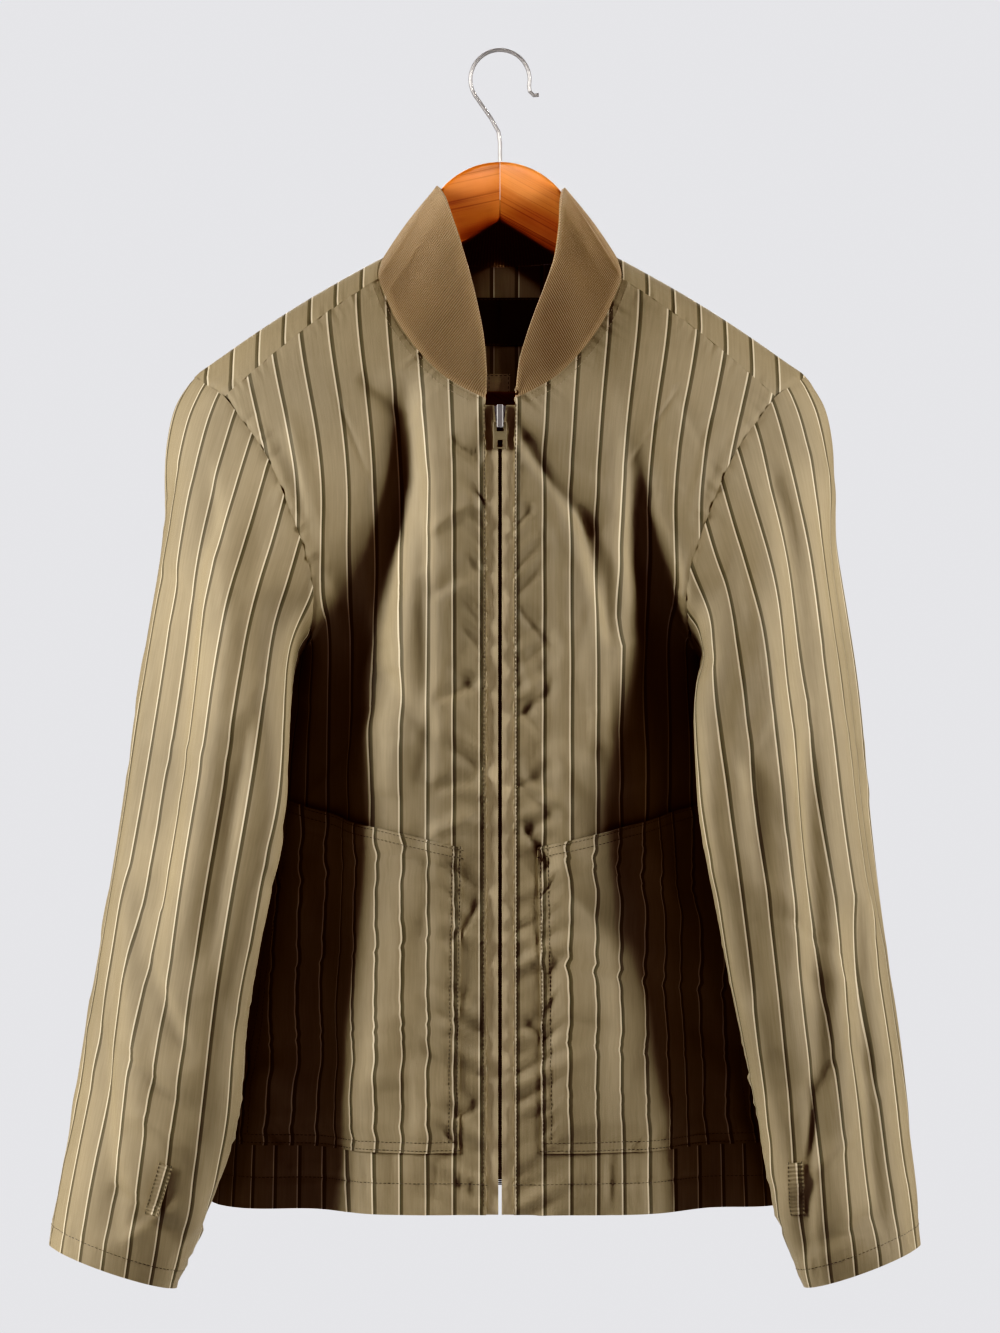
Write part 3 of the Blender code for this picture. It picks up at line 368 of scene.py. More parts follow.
def collar_grid():
    """Rows from the neck seam to the free edge, from one end of the zip round to the other."""
    seams, edges = [], []
    for name, sign in SIDES.items():
        seam = chained(fronts[name][: NECK_FRONT_ROWS + 1, 0][::-1], backs[name][: NECK_BACK_ROWS + 1, 0])
        edge = curve(COLLAR_EDGE[name], 400, sign)
        share = np.linspace(0.0, 1.0, 401)
        corner = share[np.argmin(np.abs(edge[:, 1] - COLLAR_CORNER_Y) + (edge[:, 2] < COLLAR_CORNER_Z))]
        at = np.interp(np.arange(len(seam)), [0, NECK_FRONT_ROWS, len(seam) - 1], [0.0, corner, 1.0])
        seams.append(seam)
        edges.append(np.stack([np.interp(at, share, edge[:, k]) for k in range(3)], axis=1))
    seam = chained(seams[0], seams[1][::-1])
    edge = chained(edges[0], edges[1][::-1])
    return np.array([seam + (edge - seam) * t for t in np.linspace(0.0, 1.0, COLLAR_ROWS + 1)])


sleeves = {name: sleeve_grid(name, sign) for name, sign in SIDES.items()}
collar = collar_grid()
print("sleeve grid", sleeves["left"].shape, "collar grid", collar.shape)

# %% [markdown]
# ## Finer cloth from the same seams
# The solids are coarse so that physics stays quick. Here the same grids get many more points, on
# smooth curves through the old ones. A seam that turns a corner, as at the underarm, is followed
# in two parts, so that the corner stays where it was sewn.

# %% Refining a grid
def finer_rows(grid, at, breaks=()):
    """The grid at fractional rows, with each stretch between two breaks curved on its own."""
    ends = [0, *breaks, len(grid) - 1]
    flat = grid.reshape(len(grid), -1)
    made = np.zeros((len(at), flat.shape[1]))
    for start, stop in zip(ends[:-1], ends[1:]):
        inside = (at >= start) & (at <= stop)
        made[inside] = through(np.arange(start, stop + 1), flat[start:stop + 1], at[inside])
    return made.reshape((len(at),) + grid.shape[1:])


def finer_columns(grid, at):
    return finer_rows(grid.transpose(1, 0, 2), at).transpose(1, 0, 2)


def finer(grid, down, across, corners=()):
    """The grid at fractional rows and columns; `corners` are the rows where its two edges turn."""
    rows = finer_rows(grid, down)
    last = grid.shape[1] - 1
    for place, corner in zip((0, last), corners):
        near = np.clip(1.0 - np.abs(np.arange(last + 1) - place) / 2.0, 0.0, 1.0)[None, :, None]
        rows = rows + near * (finer_rows(grid, down, (corner,)) - rows)
    return finer_columns(rows, across)


def ringed(grid, spare):
    """A grid whose last column is its first again, run on past both by a few columns."""
    return np.concatenate([grid[:, -1 - spare:-1], grid, grid[:, 1:1 + spare]], axis=1)


def facing_of(grid, outward, closed=False):
    """Unit directions out of the cloth at every point."""
    if closed:
        grid = ringed(grid, 1)
    facing = outward * np.cross(np.gradient(grid, axis=1), np.gradient(grid, axis=0))
    facing /= np.maximum(np.linalg.norm(facing, axis=2), 1e-12)[:, :, None]
    return facing[:, 1:-1] if closed else facing


def steps_of(count, times):
    return np.linspace(0.0, count - 1.0, (count - 1) * times + 1)


print("one solid's cell becomes", len(steps_of(2, 9)) - 1, "rows in a front")

# %% [markdown]
# ## Where each point lay on the flat cloth
# The stripes are woven into the cloth, so they follow the flat piece and not the room. For every
# point the script measures how far across the grain and how far down it lies, and keeps both as
# the piece's UV map, in metres.

# %% Flat coordinates
def cut_of(grid, grain, start, turn):
    """Across and down on the flat piece: `start` is the first column's distance from the grain line."""
    step = np.diff(grid, axis=1)
    sideways = step - (step * grain).sum(axis=2)[:, :, None] * grain
    across = summed(np.linalg.norm(sideways, axis=2), axis=1)
    return np.stack([turn * (across + start[:, None]), (grid * grain).sum(axis=2)], axis=2)


def flattened(grid, guess, rounds=400):
    """Lays a curved piece flat: its points move until the threads between them have their length."""
    rows, columns = grid.shape[:2]
    number = np.arange(rows * columns).reshape(rows, columns)
    joins = [
        (number[:, :-1], number[:, 1:]), (number[:-1], number[1:]),
        (number[:-1, :-1], number[1:, 1:]), (number[:-1, 1:], number[1:, :-1]),
    ]
    a, b = (np.concatenate([pair[k].reshape(-1) for pair in joins]) for k in (0, 1))
    solid = grid.reshape(-1, 3)
    length = np.linalg.norm(solid[a] - solid[b], axis=1)
    pulls = np.zeros((rows * columns, rows * columns))
    for first, second, pull in ((a, a, 1.0), (b, b, 1.0), (a, b, -1.0), (b, a, -1.0)):
        np.add.at(pulls, (first, second), pull)
    settle = np.linalg.pinv(pulls)
    flat = guess.reshape(-1, 2).copy()
    for _ in range(rounds):
        apart = flat[a] - flat[b]
        wanted = apart * (length / np.maximum(np.linalg.norm(apart, axis=1), 1e-9))[:, None]
        total = np.zeros_like(flat)
        np.add.at(total, a, wanted)
        np.add.at(total, b, -wanted)
        flat = settle @ total
    return flat.reshape(rows, columns, 2)


def set_upright(flat, column, start):
    """Turns a flat piece so that one of its columns, from row `start` down, runs along the grain."""
    line = flat[-1, column] - flat[start, column]
    angle = math.atan2(line[0], line[1])
    turn = np.array([[math.cos(angle), math.sin(angle)], [-math.sin(angle), math.cos(angle)]])
    turned = flat @ turn
    return turned - turned[start, column]


DOWN = np.array([0.0, 0.0, -1.0])
print("grain of the body runs along", DOWN)

# %% [markdown]
# ## Creases
# Light cotton creases in long soft troughs and a few sharper lines. Each crease is a line on the
# piece in millimetres, with a half width and a height, less than nothing for a trough, and it dies
# away towards both ends. The large ones are listed one by one and faint ones are scattered from a
# fixed seed. Beside each sleeve the front also sinks in, by up to 30 mm, in a long hollow.

# %% Creases
Crease = namedtuple("Crease", "a0 b0 a1 b1 half height")
FRONT_CREASES = {
    "right": table(Crease,
        -92, -330, -104, -826, 14, 5,  -62, -262, -50, -470, 10, -3.6,
        -44, -300, -36, -826, 12, 3.6,  -117, -250, -85, -330, 2, -0.8,
        -100, -238, -60, -268, 9, -3,  -150, -262, -118, -400, 7, 2.6,
        -165, -272, -140, -335, 6, -2.2,  -132, -360, -80, -455, 8, -2.2,
        -35, -285, -10, -300, 5, -3,  -52, -352, -12, -325, 6, 2.8,
        -50, -396, -12, -372, 6, -2.8,  -48, -470, -11, -452, 5, -2.8,
        -46, -530, -10, -520, 6, -3,  -50, -560, -10, -548, 5, 2.6,
        -38, -640, -10, -600, 6, -3,  -40, -700, -10, -672, 6, 2.6,
        -36, -760, -10, -745, 5, -2.4,  -160, -560, -100, -720, 10, 2,
        -185, -640, -150, -800, 9, -2),
    "left": table(Crease,
        40, -290, 52, -826, 13, 3.8,  78, -310, 88, -826, 13, -3.2,
        127, -245, 88, -306, 2, -0.8,  8, -276, 66, -352, 9, -6.8,
        54, -330, 84, -430, 10, -6.4,  16, -318, 62, -382, 8, 1.8,
        152, -268, 122, -400, 8, 2.6,  165, -275, 138, -350, 6, -2,
        128, -355, 95, -500, 9, -2.2,  10, -402, 45, -435, 6, -2.8,
        10, -470, 42, -505, 6, -1.8,  10, -520, 50, -548, 5, 2.8,
        10, -548, 40, -585, 5, -3,  10, -630, 36, -655, 6, 2.6,
        10, -690, 40, -706, 6, -2.8,  10, -760, 34, -742, 5, 2.2,
        100, -560, 160, -700, 10, 2.2,  150, -640, 188, -800, 9, -2),
}
Hollow = namedtuple("Hollow", "z out depth inner outer")
HOLLOWS = {
    "right": table(Hollow,
        -880, 134, 20, 30, 36,  -780, 130, 26, 30, 38,  -640, 121, 30, 27, 40,
        -520, 111, 30, 23, 38,  -440, 95, 28, 19, 32,  -380, 81, 24, 15, 25,
        -330, 70, 18, 11, 18,  -285, 66, 11, 9, 13,  -235, 66, 0, 9, 11),
    "left": table(Hollow,
        -880, 152, 20, 30, 34,  -780, 148, 26, 30, 36,  -640, 136, 30, 26, 36,
        -520, 122, 30, 21, 34,  -440, 112, 27, 18, 26,  -380, 103, 21, 14, 20,
        -330, 96, 12, 11, 16,  -285, 92, 4, 10, 14,  -240, 88, 0, 10, 14),
}
BACK_CREASES = table(Crease,
    -135, -330, -150, -820, 18, -7,  -90, -300, -94, -820, 17, 5,
    -30, -380, -36, -820, 18, -4,  34, -340, 44, -820, 18, 4,
    84, -300, 94, -820, 16, -4,  130, -340, 146, -820, 18, 5,
    -175, -270, -110, -360, 9, -2.6,  180, -275, 115, -370, 9, -2.6,
    -70, -200, -30, -290, 9, -1.6,  66, -195, 30, -300, 9, -1.8,
    -150, -420, -90, -520, 8, 2,  150, -430, 86, -540, 8, 2)
SLEEVE_CREASES = {
    "right": table(Crease,
        34, 60, 52, 420, 16, -6.2,  80, 120, 78, 400, 13, 4,
        58, 30, 92, 200, 7, -3,  -6, 100, 12, 500, 13, 3.6,
        -40, 80, -30, 440, 12, -4,  102, 220, 98, 420, 9, -3.6,
        12, 340, 70, 520, 12, 4,  20, 450, 60, 600, 10, -3.6,
        50, 400, 100, 470, 7, -2.8,  40, 465, 110, 505, 6, -2.6,
        55, 505, 112, 530, 6, 2.4,  48, 560, 108, 590, 7, -4,
        62, 600, 105, 560, 5, 2,  -35, 420, -10, 600, 9, -2.4,
        -90, 80, -100, 400, 14, -3.6,  -60, 300, -85, 600, 12, 3,
        140, 120, 130, 460, 16, 2.6),
    "left": table(Crease,
        -30, 30, -48, 240, 12, -5.6,  -82, 120, -74, 400, 14, 4.4,
        -62, 30, -100, 180, 7, -3,  -12, 80, -14, 420, 12, 3.4,
        -44, 220, -82, 540, 14, -9,  -80, 480, -96, 610, 8, -5,
        -26, 360, -40, 610, 18, -8.5,  26, 80, 18, 400, 12, -3.6,
        -104, 240, -98, 420, 9, -3.2,  -22, 360, -34, 600, 3.5, -1.8,
        -40, 400, -100, 360, 2.8, -1.4,  -50, 460, -104, 500, 7, -2.4,
        -46, 520, -106, 555, 6, 2.4,  -36, 580, -100, 600, 6, -2.6,
        30, 420, 8, 600, 9, 2.2,  90, 80, 100, 400, 14, -3.6,
        62, 300, 85, 600, 12, 3,  -140, 120, -132, 460, 16, 2.2),
}


def crease_height(a, b, creases):
    """Height at every point of a piece, from its creases' distances in the plane of a and b."""
    height = np.zeros_like(a)
    for crease in creases:
        run = np.array([crease.a1 - crease.a0, crease.b1 - crease.b0])
        length = math.hypot(*run)
        along = ((a - crease.a0) * run[0] + (b - crease.b0) * run[1]) / length ** 2
        side = ((a - crease.a0) * run[1] - (b - crease.b0) * run[0]) / length
        half = np.where(side > 0.0, 0.7, 1.25) * crease.half * (0.7 + 0.6 * np.clip(along, 0.0, 1.0))
        past = np.clip(np.abs(along - 0.5) - 0.5, 0.0, None) * length
        ends = np.clip(1.0 - np.abs(2.0 * along - 1.0) ** 4, 0.0, 1.0)
        height += crease.height * ends * np.exp(-((side / half) ** 2)) * np.exp(-((past / crease.half) ** 2))
    return height


def hollow_depth(name, grid, gap):
    """How far the front sinks in beside the sleeve, at every point of its grid."""
    keys = [spot.z for spot in HOLLOWS[name]]
    z = grid[..., 2].ravel()
    out, depth, inner, outer = (
        through(keys, [spot[k] for spot in HOLLOWS[name]], z).reshape(gap.shape) for k in (1, 2, 3, 4))
    side = np.abs(grid[..., 0]) - out
    share = eased(np.clip(gap / 0.022, 0.0, 1.0))
    return share * np.clip(depth, 0.0, None) * np.exp(-((side / np.where(side < 0.0, inner, outer)) ** 2))


def scattered(seed, count, low, high, lean, half, height):
    """Faint creases at random over a rectangle, most of them near one direction."""
    pick = np.random.default_rng(seed)
    made = []
    for _ in range(count):
        a, b = pick.uniform(low[0], high[0]), pick.uniform(low[1], high[1])
        angle = math.radians(pick.normal(lean, 28.0))
        length = pick.uniform(0.03, 0.11)
        tall = pick.choice([-1.0, 1.0]) * pick.uniform(0.35, 1.0) * height
        da, db = math.sin(angle) * length / 2, math.cos(angle) * length / 2
        made.append(Crease(a - da, b - db, a + da, b + db, pick.uniform(0.7, 1.5) * half, tall))
    return made


print("creases by hand:", sum(map(len, [*FRONT_CREASES.values(), BACK_CREASES, *SLEEVE_CREASES.values()])))

# %% [markdown]
# ## Puckers at the seams
# A line of stitches draws the cloth up a little, so short ripples stand square to every seam. They
# are strongest at the stitches and gone a finger's width away.

# %% Puckers
def ripples(distance, along, seed, reach, height, pitch):
    """Short uneven ripples across a seam, from the distance to it and the place along it."""
    pick = np.random.default_rng(seed)
    wave = np.zeros_like(along)
    for share in (1.0, 0.62, 1.7):
        wave += np.sin(2 * math.pi * along / (pitch * share) + pick.uniform(0.0, 6.28))
    swell = 0.6 + 0.4 * np.sin(2 * math.pi * along / 0.09 + pick.uniform(0.0, 6.28))
    return height * wave / 2.0 * swell * np.exp(-((distance / reach) ** 2))


def groove(distance, half, depth):
    return -depth * np.exp(-((distance / half) ** 2))


def quiet_edges(shape, cells, last=True):
    """1 inside the piece and 0 at its top and its last column, so that neighbours still meet."""
    rows, columns = shape
    quiet = np.clip(np.arange(rows) / cells, 0.0, 1.0)[:, None] * np.ones(shape)
    if last:
        quiet *= np.clip((columns - 1 - np.arange(columns)) / cells, 0.0, 1.0)[None, :]
    return quiet


print("puckers ready")

# %% [markdown]
# ## A wall of cloth as a mesh
# Each piece is two skins, the face and the back of the cloth, joined round the rim. numpy works
# out all the corners of all the faces at once, which is quicker than adding them one by one. The
# flat coordinates go into the UV map `cut`.

# %% Wall builder
def show(name, mesh, material):
    """Makes the object for a finished mesh and lets it move with the jacket."""
    mesh.materials.clear()
    mesh.materials.append(material)
    made = bpy.data.objects.new(name, mesh)
    bpy.context.scene.collection.objects.link(made)
    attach(made, "jacket")
    return made


def smoothed(mesh, sharp):
    """Shades a mesh smooth, except at edges sharper than so many degrees."""
    mesh.shade_smooth()
    mesh.set_sharp_from_angle(angle=math.radians(sharp))
    return mesh


def wall_mesh(name, face, back, cut, open_first=None):
    """A closed wall between two grids. From row `open_first` on, the first column has no rim."""
    rows, columns = face.shape[:2]
    count = rows * columns
    number = np.arange(count).reshape(rows, columns)
    skin = np.stack([number[:-1, :-1], number[:-1, 1:], number[1:, 1:], number[1:, :-1]], axis=-1)
    skin = skin.reshape(-1, 4)
    rim = np.concatenate([number[0, :], number[1:, -1], number[-1, -2::-1], number[-2::-1, 0]])
    if open_first is not None:
        last = len(rim) - open_first
        rim = np.concatenate([rim[last - 1:-1], rim[: len(rim) - rows + 1]])
    a, b = rim[:-1], rim[1:]
    sides = np.stack([b, a, a + count, b + count], axis=-1)
    faces = np.concatenate([skin, skin[:, ::-1] + count, sides])
    points = np.concatenate([face.reshape(-1, 3), back.reshape(-1, 3)])
    corners = points[faces]
    sweep = np.cross(corners[:, 1], corners[:, 2]) + np.cross(corners[:, 2], corners[:, 3])
    volume = np.einsum("ij,ij->", corners[:, 0], sweep)
    if volume < 0.0:
        faces = faces[:, ::-1]
    mesh = bpy.data.meshes.new(name)
    mesh.from_pydata(points.tolist(), [], faces.tolist())
    flat = np.concatenate([cut.reshape(-1, 2), cut.reshape(-1, 2)])
    layer = mesh.uv_layers.new(name="cut")
    layer.data.foreach_set("uv", flat[faces.reshape(-1)].astype(np.float32).reshape(-1))
    return smoothed(mesh, 60)


print("wall", CLOTH * 1000, "mm thick")

# %% [markdown]
# ## Shader parts that several finishes share
# A finish is never one flat colour. Woven thread, cloudy fading and wood grain are each a node
# group with its own inputs, built once and placed in every material that needs it. A group only
# hands out masks and heights, and the shader itself stays in the material.

# %% Node helpers
def feed(tree, socket, value):
    """Links another node's socket to this one, or sets its value."""
    if isinstance(value, bpy.types.NodeSocket):
        tree.links.new(value, socket)
    else:
        socket.default_value = value


def add(tree, kind, settings=None, inputs=None):
    """A node with its settings; an input is a value or another node's socket."""
    made = tree.nodes.new(kind)
    for key, value in (settings or {}).items():
        setattr(made, key, value)
    for key, value in (inputs or {}).items():
        feed(tree, made.inputs[key], value)
    return made


def maths(tree, operation, *values):
    return add(tree, "ShaderNodeMath", {"operation": operation}, dict(enumerate(values))).outputs[0]


def ramp(tree, value, stops):
    """A colour or grey ramp from (place, colour) pairs."""
    made = add(tree, "ShaderNodeValToRGB", inputs={"Fac": value})
    points = made.color_ramp.elements
    while len(points) < len(stops):
        points.new(0.5)
    for point, (place, colour) in zip(points, stops):
        point.position = place
        point.color = (*colour, 1.0) if isinstance(colour, tuple) else (colour, colour, colour, 1.0)
    return made.outputs["Color"]


def blend_colours(tree, share, first, second, how="MIX"):
    made = add(tree, "ShaderNodeMix", {"data_type": "RGBA", "blend_type": how})
    for key, value in ((0, share), (6, first), (7, second)):
        feed(tree, made.inputs[key], (*value, 1.0) if isinstance(value, tuple) else value)
    return made.outputs[2]


def new_group(name, wanted, given):
    """An empty shader group with its sockets, and its input and output nodes."""
    tree = bpy.data.node_groups.new(name, "ShaderNodeTree")
    for label, kind, value in wanted:
        socket = tree.interface.new_socket(label, in_out="INPUT", socket_type=kind)
        if value is not None:
            socket.default_value = value
    for label, kind in given:
        tree.interface.new_socket(label, in_out="OUTPUT", socket_type=kind)
    return tree, tree.nodes.new("NodeGroupInput"), tree.nodes.new("NodeGroupOutput")


print("node helpers ready")

# %% [markdown]
# ## Woven thread
# Warp and weft cross every half millimetre. Two sine waves over the flat cloth give the height of
# the threads, and a long thin noise along the grain gives the slubs, the slightly thicker threads
# that make real cotton look alive.

# %% Weave group
FLOAT, VECTOR, TURN = "NodeSocketFloat", "NodeSocketVector", 6.28318
weave, given, handed = new_group(
    "weave",
    [("Flat", VECTOR, None), ("Thread", FLOAT, 0.0005), ("Slub length", FLOAT, 0.03)],
    [("Height", FLOAT), ("Slubs", FLOAT)],
)
flat_xy = add(weave, "ShaderNodeSeparateXYZ", inputs={0: given.outputs["Flat"]})
turns = maths(weave, "DIVIDE", TURN, given.outputs["Thread"])
warp = maths(weave, "SINE", maths(weave, "MULTIPLY", flat_xy.outputs[0], turns))
weft = maths(weave, "SINE", maths(weave, "MULTIPLY", flat_xy.outputs[1], turns))
crossing = maths(weave, "MULTIPLY", warp, weft)
slub_wide = maths(weave, "MULTIPLY", given.outputs["Thread"], 2.5)
slub_x = maths(weave, "DIVIDE", flat_xy.outputs[0], slub_wide)
slub_y = maths(weave, "DIVIDE", flat_xy.outputs[1], given.outputs["Slub length"])
slub_place = add(weave, "ShaderNodeCombineXYZ", inputs={0: slub_x, 1: slub_y}).outputs[0]
slubs = add(weave, "ShaderNodeTexNoise", inputs={"Vector": slub_place, "Scale": 1.0, "Detail": 3.0})
raised = maths(weave, "MULTIPLY_ADD", crossing, 0.35, slubs.outputs["Fac"])
weave.links.new(raised, handed.inputs["Height"])
weave.links.new(slubs.outputs["Fac"], handed.inputs["Slubs"])
print("group", weave.name)

# %% [markdown]
# ## Cloudy wear
# Cloth and paint both fade a little in soft patches. This group gives a large cloud and a fine one
# from the piece's own object coordinates.

# %% Wear group
wear, given, handed = new_group(
    "wear",
    [("Place", VECTOR, None), ("Large", FLOAT, 9.0), ("Fine", FLOAT, 70.0)],
    [("Cloud", FLOAT), ("Speckle", FLOAT)],
)
for label, size in (("Cloud", "Large"), ("Speckle", "Fine")):
    cloud = add(wear, "ShaderNodeTexNoise", inputs={
        "Vector": given.outputs["Place"], "Scale": given.outputs[size], "Detail": 4.0})
    wear.links.new(cloud.outputs["Fac"], handed.inputs[label])
print("group", wear.name)

# %% [markdown]
# ## Wood grain
# The hanger's halves are sawn along the grain. The group stretches a noise along one direction and
# reads it twice: broad bands for the growth rings, and hair-thin pores.

# %% Grain group
grain, given, handed = new_group(
    "grain",
    [("Place", VECTOR, None), ("Lean", FLOAT, 0.3), ("Bands", FLOAT, 60.0)],
    [("Rings", FLOAT), ("Pores", FLOAT)],
)
spot = add(grain, "ShaderNodeSeparateXYZ", inputs={0: given.outputs["Place"]})
slanted = maths(grain, "MULTIPLY_ADD", spot.outputs[0], given.outputs["Lean"], spot.outputs[2])
along = maths(grain, "MULTIPLY", spot.outputs[0], 5.0)
for label, density in (("Rings", 1.0), ("Pores", 9.0)):
    thick = maths(grain, "MULTIPLY", maths(grain, "MULTIPLY", slanted, given.outputs["Bands"]), density)
    depth = maths(grain, "MULTIPLY", spot.outputs[1], 40.0 * density)
    place = add(grain, "ShaderNodeCombineXYZ", inputs={0: along, 1: depth, 2: thick}).outputs[0]
    bands = add(grain, "ShaderNodeTexNoise", inputs={"Vector": place, "Scale": 1.0, "Detail": 5.0})
    grain.links.new(bands.outputs["Fac"], handed.inputs[label])
print("group", grain.name)

# %% [markdown]
# ## Finishes
# Every finish starts from the same small recipe: a Principled shader, a colour built from the
# groups, a roughness that varies a little, and a bump. What stays the same all over is set on the
# shader's own sockets.

# %% Finish helpers
def new_finish(name, **fixed):
    """A material's node tree, with the fixed values set on its shader's own sockets."""
    made = bpy.data.materials.new(name)
    made.use_nodes = True
    for key, value in fixed.items():
        made.node_tree.nodes["Principled BSDF"].inputs[key.replace("_", " ")].default_value = value
    return made, made.node_tree


def place_group(tree, group, inputs):
    return add(tree, "ShaderNodeGroup", {"node_tree": group}, inputs).outputs


def flat_place(tree):
    return add(tree, "ShaderNodeUVMap", {"uv_map": "cut"}).outputs["UV"]


def threads_of(tree, thread, slub_length=0.03):
    """The weave group on the flat cloth."""
    return place_group(tree, weave, {"Flat": flat_place(tree), "Thread": thread, "Slub length": slub_length})


def clouds_of(tree, large=9.0, fine=70.0):
    """The wear group on the piece's own object coordinates."""
    place = add(tree, "ShaderNodeTexCoord").outputs["Object"]
    return place_group(tree, wear, {"Place": place, "Large": large, "Fine": fine})


def faded(tree, clouds, colour, low, high):
    """The colour with soft lighter and darker patches."""
    patches = ramp(tree, clouds["Cloud"], [(0.30, low), (0.70, high)])
    return blend_colours(tree, 1.0, colour, patches, "MULTIPLY")


def finish_off(tree, colour, rough, height, distance, strength):
    """Links the colour, the roughness and a bump to the shader."""
    shader = tree.nodes["Principled BSDF"]
    tree.links.new(colour, shader.inputs["Base Color"])
    tree.links.new(rough, shader.inputs["Roughness"])
    raised = add(tree, "ShaderNodeBump", inputs={
        "Height": height, "Distance": distance, "Strength": strength})
    tree.links.new(raised.outputs[0], shader.inputs["Normal"])


print("finish helpers ready")

# %% [markdown]
# ## The striped cloth
# The jacket's cloth is a smooth khaki cotton with a thin cream line every 19 mm and a duller olive
# line beside it. The lines are woven, so they are drawn on the flat coordinates. A faint sheen
# makes the folds' crests pale at a glancing angle, as the finished cotton is.

# %% Cloth
PITCH, CREAM_WIDE, DARK_WIDE, SOFT = 0.0187, 0.0011, 0.0024, 0.008
KHAKI, KHAKI_DEEP = (0.345, 0.291, 0.188), (0.272, 0.224, 0.136)
CREAM, OLIVE = (0.600, 0.530, 0.390), (0.105, 0.086, 0.046)

cloth, tree = new_finish("cloth", Specular_IOR_Level=0.28, Sheen_Weight=0.12, Sheen_Roughness=0.35)
across = add(tree, "ShaderNodeSeparateXYZ", inputs={0: flat_place(tree)}).outputs[0]
share = maths(tree, "FRACT", maths(tree, "DIVIDE", across, PITCH))
cream_end, dark_end = CREAM_WIDE / PITCH, (CREAM_WIDE + DARK_WIDE) / PITCH
cream = ramp(tree, share, [
    (0.0, 0.0), (SOFT, 1.0), (cream_end, 1.0), (cream_end + SOFT, 0.0), (1.0, 0.0)])
dark = ramp(tree, share, [
    (0.0, 0.0), (cream_end, 0.0), (cream_end + SOFT, 1.0), (dark_end, 0.75), (dark_end + 0.02, 0.0)])
threads = threads_of(tree, 0.00055)
ground = blend_colours(tree, threads["Slubs"], KHAKI, KHAKI_DEEP)
ground = blend_colours(tree, maths(tree, "MULTIPLY", dark, 0.95), ground, OLIVE)
ground = blend_colours(tree, maths(tree, "MULTIPLY", cream, 0.9), ground, CREAM)
ground = faded(tree, clouds_of(tree), ground, 0.88, 1.08)
rough = ramp(tree, threads["Slubs"], [(0.2, 0.48), (0.8, 0.60)])
finish_off(tree, ground, rough, threads["Height"], 0.00022, 0.55)
print("cloth lines every", PITCH * 1000, "mm")

# %% [markdown]
# ## Knit, tape, label and thread
# The collar's ribs are real geometry, and its finish adds the small loops of the yarn and painted
# shade: the colour is darker in the hollows between the ribs and lighter on their crests. The zip's
# tapes and the care tab are a plain close weave, the care tab's in lighter colours than the tapes'
# that are painted light, and the neck label is dark satin. Thread is darker on the cloth than inside
# the neck.

# %% Knit, tape, label and thread
# The deep and light yarn colours are painted shade in the ribs' hollows and painted light on their crests;
# the middle one is the yarn's slubs.
YARN_VALLEY_PAINTED_SHADE, YARN_CREST_PAINTED_LIGHT, YARN_MIDDLE = (0.178, 0.118, 0.058), (0.385, 0.282, 0.156), (0.285, 0.202, 0.098)
RIB_EVERY, LOOP_EVERY = 0.0019, 0.0011

rib_knit, tree = new_finish("rib_knit", Sheen_Weight=0.35, Sheen_Roughness=0.5)
parts = add(tree, "ShaderNodeSeparateXYZ", inputs={0: flat_place(tree)}).outputs
ribs, loops = (
    maths(tree, "SINE", maths(tree, "MULTIPLY", parts[k], TURN / every))
    for k, every in ((0, RIB_EVERY), (1, LOOP_EVERY)))
yarn = threads_of(tree, 0.0004, 0.004)
# Painted shade: the colour follows the rib geometry, lighter on the crests and darker in the hollows.
painted_rib_shade = maths(tree, "MULTIPLY_ADD", ribs, 0.5, 0.5)
colour = blend_colours(tree, painted_rib_shade, YARN_VALLEY_PAINTED_SHADE, YARN_CREST_PAINTED_LIGHT)
colour = blend_colours(tree, maths(tree, "MULTIPLY", yarn["Slubs"], 0.5), colour, YARN_MIDDLE)
colour = faded(tree, clouds_of(tree, 14.0), colour, 0.90, 1.08)
rough = ramp(tree, yarn["Slubs"], [(0.2, 0.80), (0.8, 0.95)])
raised = maths(tree, "MULTIPLY_ADD", loops, 0.4, yarn["Height"])
finish_off(tree, colour, rough, raised, 0.00030, 0.7)


def make_close_weave(name, light, deep, thread, rough):
    made, tree = new_finish(name, Sheen_Weight=0.12)
    threads = threads_of(tree, thread, 0.012)
    colour = blend_colours(tree, threads["Slubs"], light, deep)
    colour = faded(tree, clouds_of(tree, 22.0), colour, 0.86, 1.08)
    rough = ramp(tree, threads["Slubs"], [(0.2, rough - 0.08), (0.8, rough + 0.08)])
    finish_off(tree, colour, rough, threads["Height"], 0.00025, 0.6)
    return made


def make_speckled(name, light, deep, clouds, rough, bump, **fixed):
    """Thread or metal: a cloudy colour with a fine speckle in its roughness and its bump."""
    made, tree = new_finish(name, **fixed)
    patches = clouds_of(tree, *clouds)
    colour = blend_colours(tree, patches["Cloud"], light, deep)
    finish_off(tree, colour, ramp(tree, patches["Speckle"], rough), patches["Speckle"], *bump)
    return made


def make_thread(name, light, deep):
    return make_speckled(
        name, light, deep, (60.0, 900.0), [(0.2, 0.45), (0.8, 0.65)], (0.0001, 0.5), Sheen_Weight=0.2)


tape = make_close_weave("tape", (0.520, 0.440, 0.290), (0.410, 0.342, 0.216), 0.0006, 0.62)
